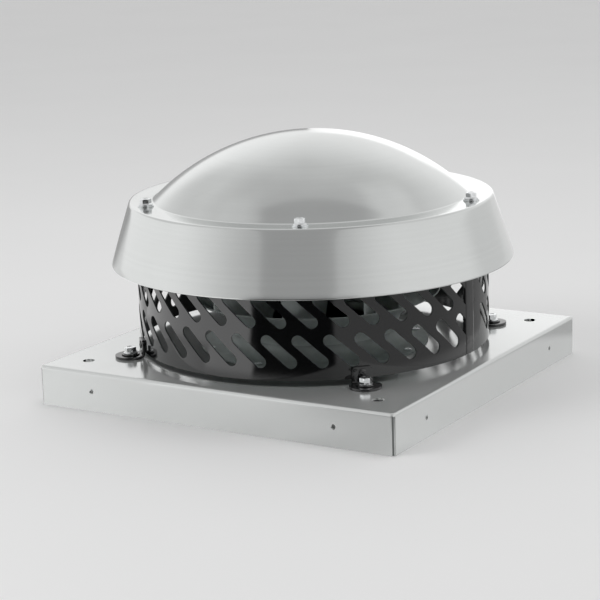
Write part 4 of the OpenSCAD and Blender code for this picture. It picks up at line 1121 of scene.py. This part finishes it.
# %% [markdown]
# ## The lugs
# Four small feet of bent strip carry the ring a few millimetres above the plate. Each is a round
# pad under its bolt and an upright tab riveted to the ring. A lug is drawn as a strip that runs
# down the tab, round the bend and out over the pad, and is as wide as the blank is there.


# %% One lug, and four copies as separate pieces
def lug_template():
    bend = 1.5
    bend_len = bend * pi / 2
    leg_len = LUG_LEG - LUG_SHEET - bend
    centre_r, centre_z = GUARD_R + LUG_SHEET + bend, PLATE_TOP + LUG_SHEET + bend
    pad_at = LUG_R - centre_r
    rows = [(-leg_len, LUG_W / 2 - 2.2), (-leg_len + 0.5, LUG_W / 2 - 1.0),
            (-leg_len + 1.4, LUG_W / 2 - 0.3), (-leg_len + 2.6, LUG_W / 2)]
    rows += [(-leg_len * f, LUG_W / 2) for f in (0.55, 0.25, 0)]
    rows += [(bend_len * f, LUG_W / 2) for f in (0.25, 0.5, 0.75, 1)]
    join = pad_at - sqrt(LUG_PAD_R ** 2 - (LUG_W / 2) ** 2)
    rows += [(bend_len + max(join, 0.3) * f, LUG_W / 2) for f in (0.5, 1)]
    start = degrees(atan2(max(join, 0.3) - pad_at, LUG_W / 2))
    for k in range(1, 17):
        a = radians(start + (88 - start) * k / 16)
        rows.append((bend_len + pad_at + LUG_PAD_R * sin(a), LUG_PAD_R * cos(a)))

    def place(s, t, depth):
        if s <= 0:
            radius, z, fade = GUARD_R + LUG_SHEET - depth, centre_z - s, 1.0
        elif s < bend_len:
            a = s / bend
            radius = centre_r - (bend + depth) * cos(a)
            z, fade = centre_z - (bend + depth) * sin(a), 1.0
        else:
            radius, z = centre_r + s - bend_len, PLATE_TOP + LUG_SHEET - depth
            fade = max(0.0, 1 - (s - bend_len) / 6)
        sag = (GUARD_R - sqrt(GUARD_R ** 2 - t * t)) * fade
        return radius - sag, t, z

    columns = 12
    span = columns + 1
    vertices = [place(s, w * (2 * k / columns - 1), depth)
                for depth in (0, LUG_SHEET) for s, w in rows for k in range(span)]
    layer = len(rows) * span
    faces = []
    for a, b, c, d in quads(len(rows), span, open_rows=True):
        faces += [(a, d, c, b), (layer + a, layer + b, layer + c, layer + d)]
    border = [*range(columns), *[i * span + columns for i in range(len(rows) - 1)]]
    border += [layer - 1 - k for k in range(columns)]
    border += [i * span for i in range(len(rows) - 1, 0, -1)]
    for a, b in zip(border, border[1:] + border[:1]):
        faces.append((a, b, layer + b, layer + a))
    lug = make_object("lug_template", vertices, faces)
    round_edges(lug, 0.35)
    return smooth(applied(lug), 40)


lug = lug_template()
for name, angle in LUG_ANGLES.items():
    piece = ring_of(name + "_foot", lug, "guard_paint", 1, 0, 0, radians(angle))
    seat(piece, "housing", name)
discard(lug)


# %% [markdown]
# ## The base plate
# The base is one blank of sheet with its four sides folded down. The tray is built as a stack of
# rounded squares, up the outside, over the bend, and back down the inside, and then drilled. Flat
# faces are kept flat to the eye by weighted normals.


# %% Tray and its holes
def rounded_square(half, radius, height, steps=6):
    points = []
    for i, (sx, sy) in enumerate(((1, 1), (-1, 1), (-1, -1), (1, -1))):
        for k in range(steps + 1):
            a = pi / 2 * (i + k / steps)
            points.append((sx * (half - radius) + radius * cos(a),
                           sy * (half - radius) + radius * sin(a), height))
    return points


def tray():
    half, bend_z = PLATE_SIDE / 2, PLATE_TOP - PLATE_BEND

    def layers(inset, heights):
        bend = PLATE_BEND - inset
        flat = [(half - inset, PLATE_CORNER - inset, z) for z in heights]
        over = [(half - PLATE_BEND + bend * cos(radians(a)),
                 PLATE_CORNER - PLATE_BEND + bend * cos(radians(a)),
                 bend_z + bend * sin(radians(a))) for a in range(0, 91, 15)]
        inside = [(half - PLATE_BEND - 0.6, 0.7, PLATE_TOP - inset)]
        return flat + over + inside

    outside = layers(0, (0.25, 1.2, 12, 24, bend_z - 0.6))
    inside = layers(PLATE_SHEET, (0.25, 1.2, bend_z - 0.6))
    rims = [(half - 0.25, PLATE_CORNER - 0.25, 0), (half - PLATE_SHEET + 0.25, 2.25, 0)]
    stack = [*reversed(inside), rims[1], rims[0], *outside]
    rings = [rounded_square(*layer) for layer in stack]
    return make_object("base_tray", [v for ring in rings for v in ring],
                       tube(len(rings), len(rings[0])), "plate_paint")


AIM = {"z": Matrix(), "x": Matrix.Rotation(pi / 2, 4, "Y"), "y": Matrix.Rotation(pi / 2, 4, "X")}


def drill(thing, rods):
    """Cut holes: a rod is a centre, a radius, an axis letter, a length and a count of sides."""
    work = bmesh.new()
    for centre, radius, axis, length, sides in rods:
        turn = AIM[axis]
        place = Matrix.Translation(Vector(centre) * MM) @ turn
        bmesh.ops.create_cone(work, cap_ends=True, segments=sides, radius1=radius * MM,
                              radius2=radius * MM, depth=length * MM, matrix=place)
    mesh = bpy.data.meshes.new("drill")
    work.to_mesh(mesh)
    work.free()
    bit = placed("drill", mesh)
    modify(thing, "cut", "BOOLEAN", operation="DIFFERENCE", solver="EXACT", object=bit)
    applied(thing)
    discard(bit)


plate = tray()
TOP_MIDDLE = PLATE_TOP - PLATE_SHEET / 2
SIDE_MIDDLE = (PLATE_SIDE - PLATE_SHEET) / 2
DRILL_LEN = 6
SIGNS = [(x, y) for x in (-1, 1) for y in (-1, 1)]
rods = [((0, 0, TOP_MIDDLE), OPENING_R, "z", DRILL_LEN, 128)]
rods += [((x * MOUNT_PITCH / 2, y * MOUNT_PITCH / 2, TOP_MIDDLE), MOUNT_HOLE_R, "z", DRILL_LEN,
          40) for x, y in SIGNS]
rods += [((LUG_R * cos(radians(a)), LUG_R * sin(radians(a)), TOP_MIDDLE), BOLT_HOLE_R, "z",
          DRILL_LEN, 24) for a in LUG_ANGLES.values()]
for s, t in SIGNS:
    u, v, z = s * SIDE_MIDDLE, t * SIDE_PITCH / 2, PLATE_TOP / 2
    rods += [((u, v, z), SIDE_HOLE_R, "x", DRILL_LEN, 24),
             ((v, u, z), SIDE_HOLE_R, "y", DRILL_LEN, 24)]
GROOVE_R = (PLATE_SIDE / 2 - PLATE_CORNER) * sqrt(2) + PLATE_CORNER - PLATE_SHEET
SIDE_TOP = PLATE_TOP - PLATE_BEND
groove_at = (GROOVE_R + CORNER_GAP / 2) / sqrt(2)
rods += [((x * groove_at, y * groove_at, SIDE_TOP / 2 - 1), CORNER_GAP / sqrt(2), "z",
          SIDE_TOP + 2, 4) for x, y in SIGNS]
drill(plate, rods)
smooth(plate, 35)
modify(plate, "even", "WEIGHTED_NORMAL", keep_sharp=True)
applied(plate)
seat(plate, "housing", "base_plate")


def corner_tabs():
    """Angles of sheet behind the corner grooves, one stack of bent strips, dark as painted shade.
    """
    wall = PLATE_SIDE / 2 - PLATE_SHEET
    outer, inner = wall + 0.15, wall - TAB_T
    end = PLATE_SIDE / 2 - TAB_W
    bend = arc(outer - 2, outer - 2, 2, 0, 90, 6)
    path = [(outer, end), *bend, (end, outer), (end, inner), (inner - 0.5, inner),
            (inner, inner - 0.5), (inner, end)]
    vertices, faces = [], []
    for i in range(4):
        turn = Matrix.Rotation(i * pi / 2, 3, "Z")
        faces += tube(2, len(path), len(vertices))
        for z in (0.3, SIDE_TOP - 0.5):
            vertices += [tuple(turn @ Vector((x, y, z))) for x, y in path]
    return smooth(make_object("corner_tabs", vertices, faces, "tab_painted_shade"))


tabs = corner_tabs()
seat(tabs, "housing")


# %% [markdown]
# ## The studio
# The photograph was lit by large soft lights on both sides, with a dark gap between them where
# the camera stood, and the glossy paint shows that as bright and dark bands. The world is a grey
# room with such soft panels for every ray that lights or is mirrored, and plain pale grey behind
# the fan for the camera. The floor mirrors as a white sheet with a few darker and lighter cards,
# with painted shadow under and round the fan's base and a patch of painted light to its left.


# %% World with soft panels
def make_panel_group():
    """A soft-edged rectangle over two coordinates, as a level to be added up."""
    tree, given, result = start_group(
        "soft_panel", "ShaderNodeTree",
        {"Across": 0.0, "Up": 0.0, "From": -30.0, "To": 30.0, "Side Edge": 5.0, "Low": -10.0,
         "High": 60.0, "Top Edge": 5.0, "Level": 1.0}, {"Level": "Float"})

    def between(value, low, high, edge):
        rise, fall = [ramp(
            tree, given[value], sub(tree, given[end], given[edge]),
            add(tree, given[end], given[edge]), start, 1.0 - start, soft=True)
            for end, start in ((low, 0.0), (high, 1.0))]
        return mul(tree, rise, fall)
    return give(tree, result, {"Level": mul(
        tree, between("Across", "From", "To", "Side Edge"),
        between("Up", "Low", "High", "Top Edge"), given["Level"])})


SOFT_PANEL = make_panel_group()
GROUP_LABELS[SOFT_PANEL] = ("From", "To", "Side Edge", "Low", "High", "Top Edge", "Level")
CAMERA_AZIMUTH = radians(-58.88)
STUDIO, BACKDROP = 0.49, 0.72
CARD_SHADE, CARD_SLANT, HORIZON = 0.22, 0.43, 0.02
PANELS = [
    # from, to, side edge, low, high, top edge, level: degrees from the camera's side, + to its
    # right, and degrees above the horizon
    (-200, -58, 36, -60, 44, 34, 0.48),
    (28, 200, 28, -60, 46, 34, 0.36),
    (-200, -157, 8, 4, 60, 30, 0.10),
    (-157, -100, 8, 18, 38, 8, -0.15),
    (-130, -60, 12, 52, 66, 4, 0.07),
    (60, 140, 12, 48, 66, 4, 0.14),
    (150, 200, 15, 4, 60, 30, 0.14),
    (-400, 400, 1, 62, 120, 6, 0.05),
    (106, 152, 8, -20, 11, 2, -0.14),
    (-36, 24, 6, -60, 15, 4, -0.42),
    (-200, -158, 8, -60, 7, 3, -0.60),
    (163, 179.4, 3, -60, 14.6, 1.2, 0.40),
]


def panel(tree, across, upward, *numbers):
    return use(tree, SOFT_PANEL, *map(float, numbers), Across=across, Up=upward)[0]


def add_panels(tree, base, panels, across, upward):
    return add(tree, base, *[panel(tree, across, upward, *numbers) for numbers in panels])


def camera_axes(tree, vector):
    """A direction or place, split along the camera's floor direction and to its right."""
    axes = split(tree, vector)
    c, s = cos(CAMERA_AZIMUTH), sin(CAMERA_AZIMUTH)
    ahead = add(tree, mul(tree, axes[0], c), mul(tree, axes[1], s))
    aside = sub(tree, mul(tree, axes[1], c), mul(tree, axes[0], s))
    azimuth = mul(tree, calc(tree, "ARCTAN2", aside, ahead), 180 / pi)
    return ahead, aside, axes[2], azimuth


def make_world():
    world = bpy.data.worlds.new("studio")
    scene.world = world
    world.use_nodes = True
    tree = world.node_tree
    tree.nodes.clear()
    ray = put(tree, "ShaderNodeTexCoord").outputs["Generated"]
    ahead, aside, height, azimuth = camera_axes(tree, ray)
    elevation = mul(tree, calc(tree, "ARCSINE", height), 180 / pi)
    room = add_panels(tree, STUDIO, PANELS, azimuth, elevation)
    above = calc(tree, "MAXIMUM", height, HORIZON)
    front = div(tree, ahead, above)
    slant = mul(tree, calc(tree, "MAXIMUM", front, 0.0), CARD_SLANT)
    side = add(tree, div(tree, aside, above), slant)
    card = panel(tree, side, front, -0.36, 40, 0.04, -0.11, 40, 0.03, 1)
    within = ramp(tree, sub(tree, side, slant), 0.48, 0.6, 1.0, 0.0, soft=True)
    room = mul(tree, room, sub(tree, 1.0, mul(tree, card, within, CARD_SHADE)))
    rays = put(tree, "ShaderNodeLightPath").outputs
    seen = calc(tree, "MAXIMUM", rays["Is Camera Ray"], rays["Is Transmission Ray"])
    level = put(tree, "ShaderNodeMix", {"Factor": seen, "A": room, "B": BACKDROP},
                data_type="FLOAT")
    ground = put(tree, "ShaderNodeBackground", {
        "Color": (1, 1, 1, 1), "Strength": socket_of(level.outputs, "Result")})
    put(tree, "ShaderNodeOutputWorld", {"Surface": ground})
    print("studio of", len(PANELS), "panels and a card")


make_world()


# %% Floor and lamps
def soft_lamp(name, place, aim, size, power):
    lamp = bpy.data.lights.new(name, "AREA")
    lamp.shape, lamp.size, lamp.energy = "DISK", size, power
    thing = placed(name, lamp)
    thing.location = place
    direction = Vector(aim) - Vector(place)
    thing.rotation_euler = direction.to_track_quat("-Z", "Y").to_euler()
    thing.visible_glossy = False


soft_lamp("left_lamp", (-1.2, -1.4, 1.5), (0, 0, 0.1), 1.2, 9)
soft_lamp("top_lamp", (0.5, 0.2, 2.2), (0, 0, 0.1), 1.4, 8)

FLOOR_SIDE, PAPER = 12000, 0.76
# Rows that end within 0.42 m of the axis are painted shadow under and round the fan's base, and one
# of them painted light to its left; the others are darker and lighter cards.
FLOOR_CARDS_AND_SHADE = [
    # from, to, side edge in degrees; near, far and edge in metres; level
    (-30, 14, 14, -1, 0.355, 0.02, -0.13),
    (-22, 14, 8, 0.29, 0.355, 0.03, -0.14),
    (-6, 16, 8, -1, 0.29, 0.03, -0.14),
    (-190, -62, 18, -1, 0.42, 0.03, 0.22),
    (30, 180, 20, -1, 0.355, 0.02, -0.08),
    (-400, 400, 1, -1, 0.14, 0.03, -1.2),
    (-31, 10, 1.2, 0.355, 0.45, 0.02, -0.74),
    (-34.5, 10, 1.2, 0.45, 9, 0.02, -0.74),
    (-58, -31, 1.2, 0.355, 0.45, 0.02, 0.5),
    (-120, -34.5, 1.2, 0.45, 0.9, 0.02, 0.5),
    (10, 135, 1.2, 0.355, 0.9, 0.02, -0.35),
    (-200, -146, 5, 0.9, 9, 0.1, -0.38),
    (160, 179.4, 3, 0.6, 9, 0.1, 0.60),
]


def make_floor():
    corners = ((-1, -1), (1, -1), (1, 1), (-1, 1))
    floor = make_object("floor", [
        (x * FLOOR_SIDE / 2, y * FLOOR_SIDE / 2, 0) for x, y in corners], [(0, 1, 2, 3)])
    material, tree, shader = new_finish("floor_paper", {"Roughness": 0.9})
    place = object_place(tree)
    tone = ramp(tree, noise(tree, place, 3.0), 0.0, 1.0, 0.86, 0.89)
    tree.links.new(grey(tree, tone), shader.inputs["Base Color"])
    ahead, aside, height, azimuth = camera_axes(tree, place)
    # What the floor mirrors: the paper's level with the cards and the painted shadow added.
    mirrored_cards_and_shade = add_panels(tree, PAPER, FLOOR_CARDS_AND_SHADE, azimuth, reach(tree, ahead, aside))
    glow = put(tree, "ShaderNodeEmission", {"Color": (1, 1, 1, 1), "Strength": mirrored_cards_and_shade})
    rays = put(tree, "ShaderNodeLightPath").outputs
    both = put(tree, "ShaderNodeMixShader", {
        0: rays["Is Glossy Ray"], 1: shader, 2: glow})
    end = next(n for n in tree.nodes if n.type == "OUTPUT_MATERIAL")
    tree.links.new(both.outputs[0], end.inputs["Surface"])
    floor.data.materials.append(material)
    print("floor with", len(FLOOR_CARDS_AND_SHADE), "mirrored_cards_and_shade")


make_floor()

# %% Update the scene
bpy.context.view_layer.update()
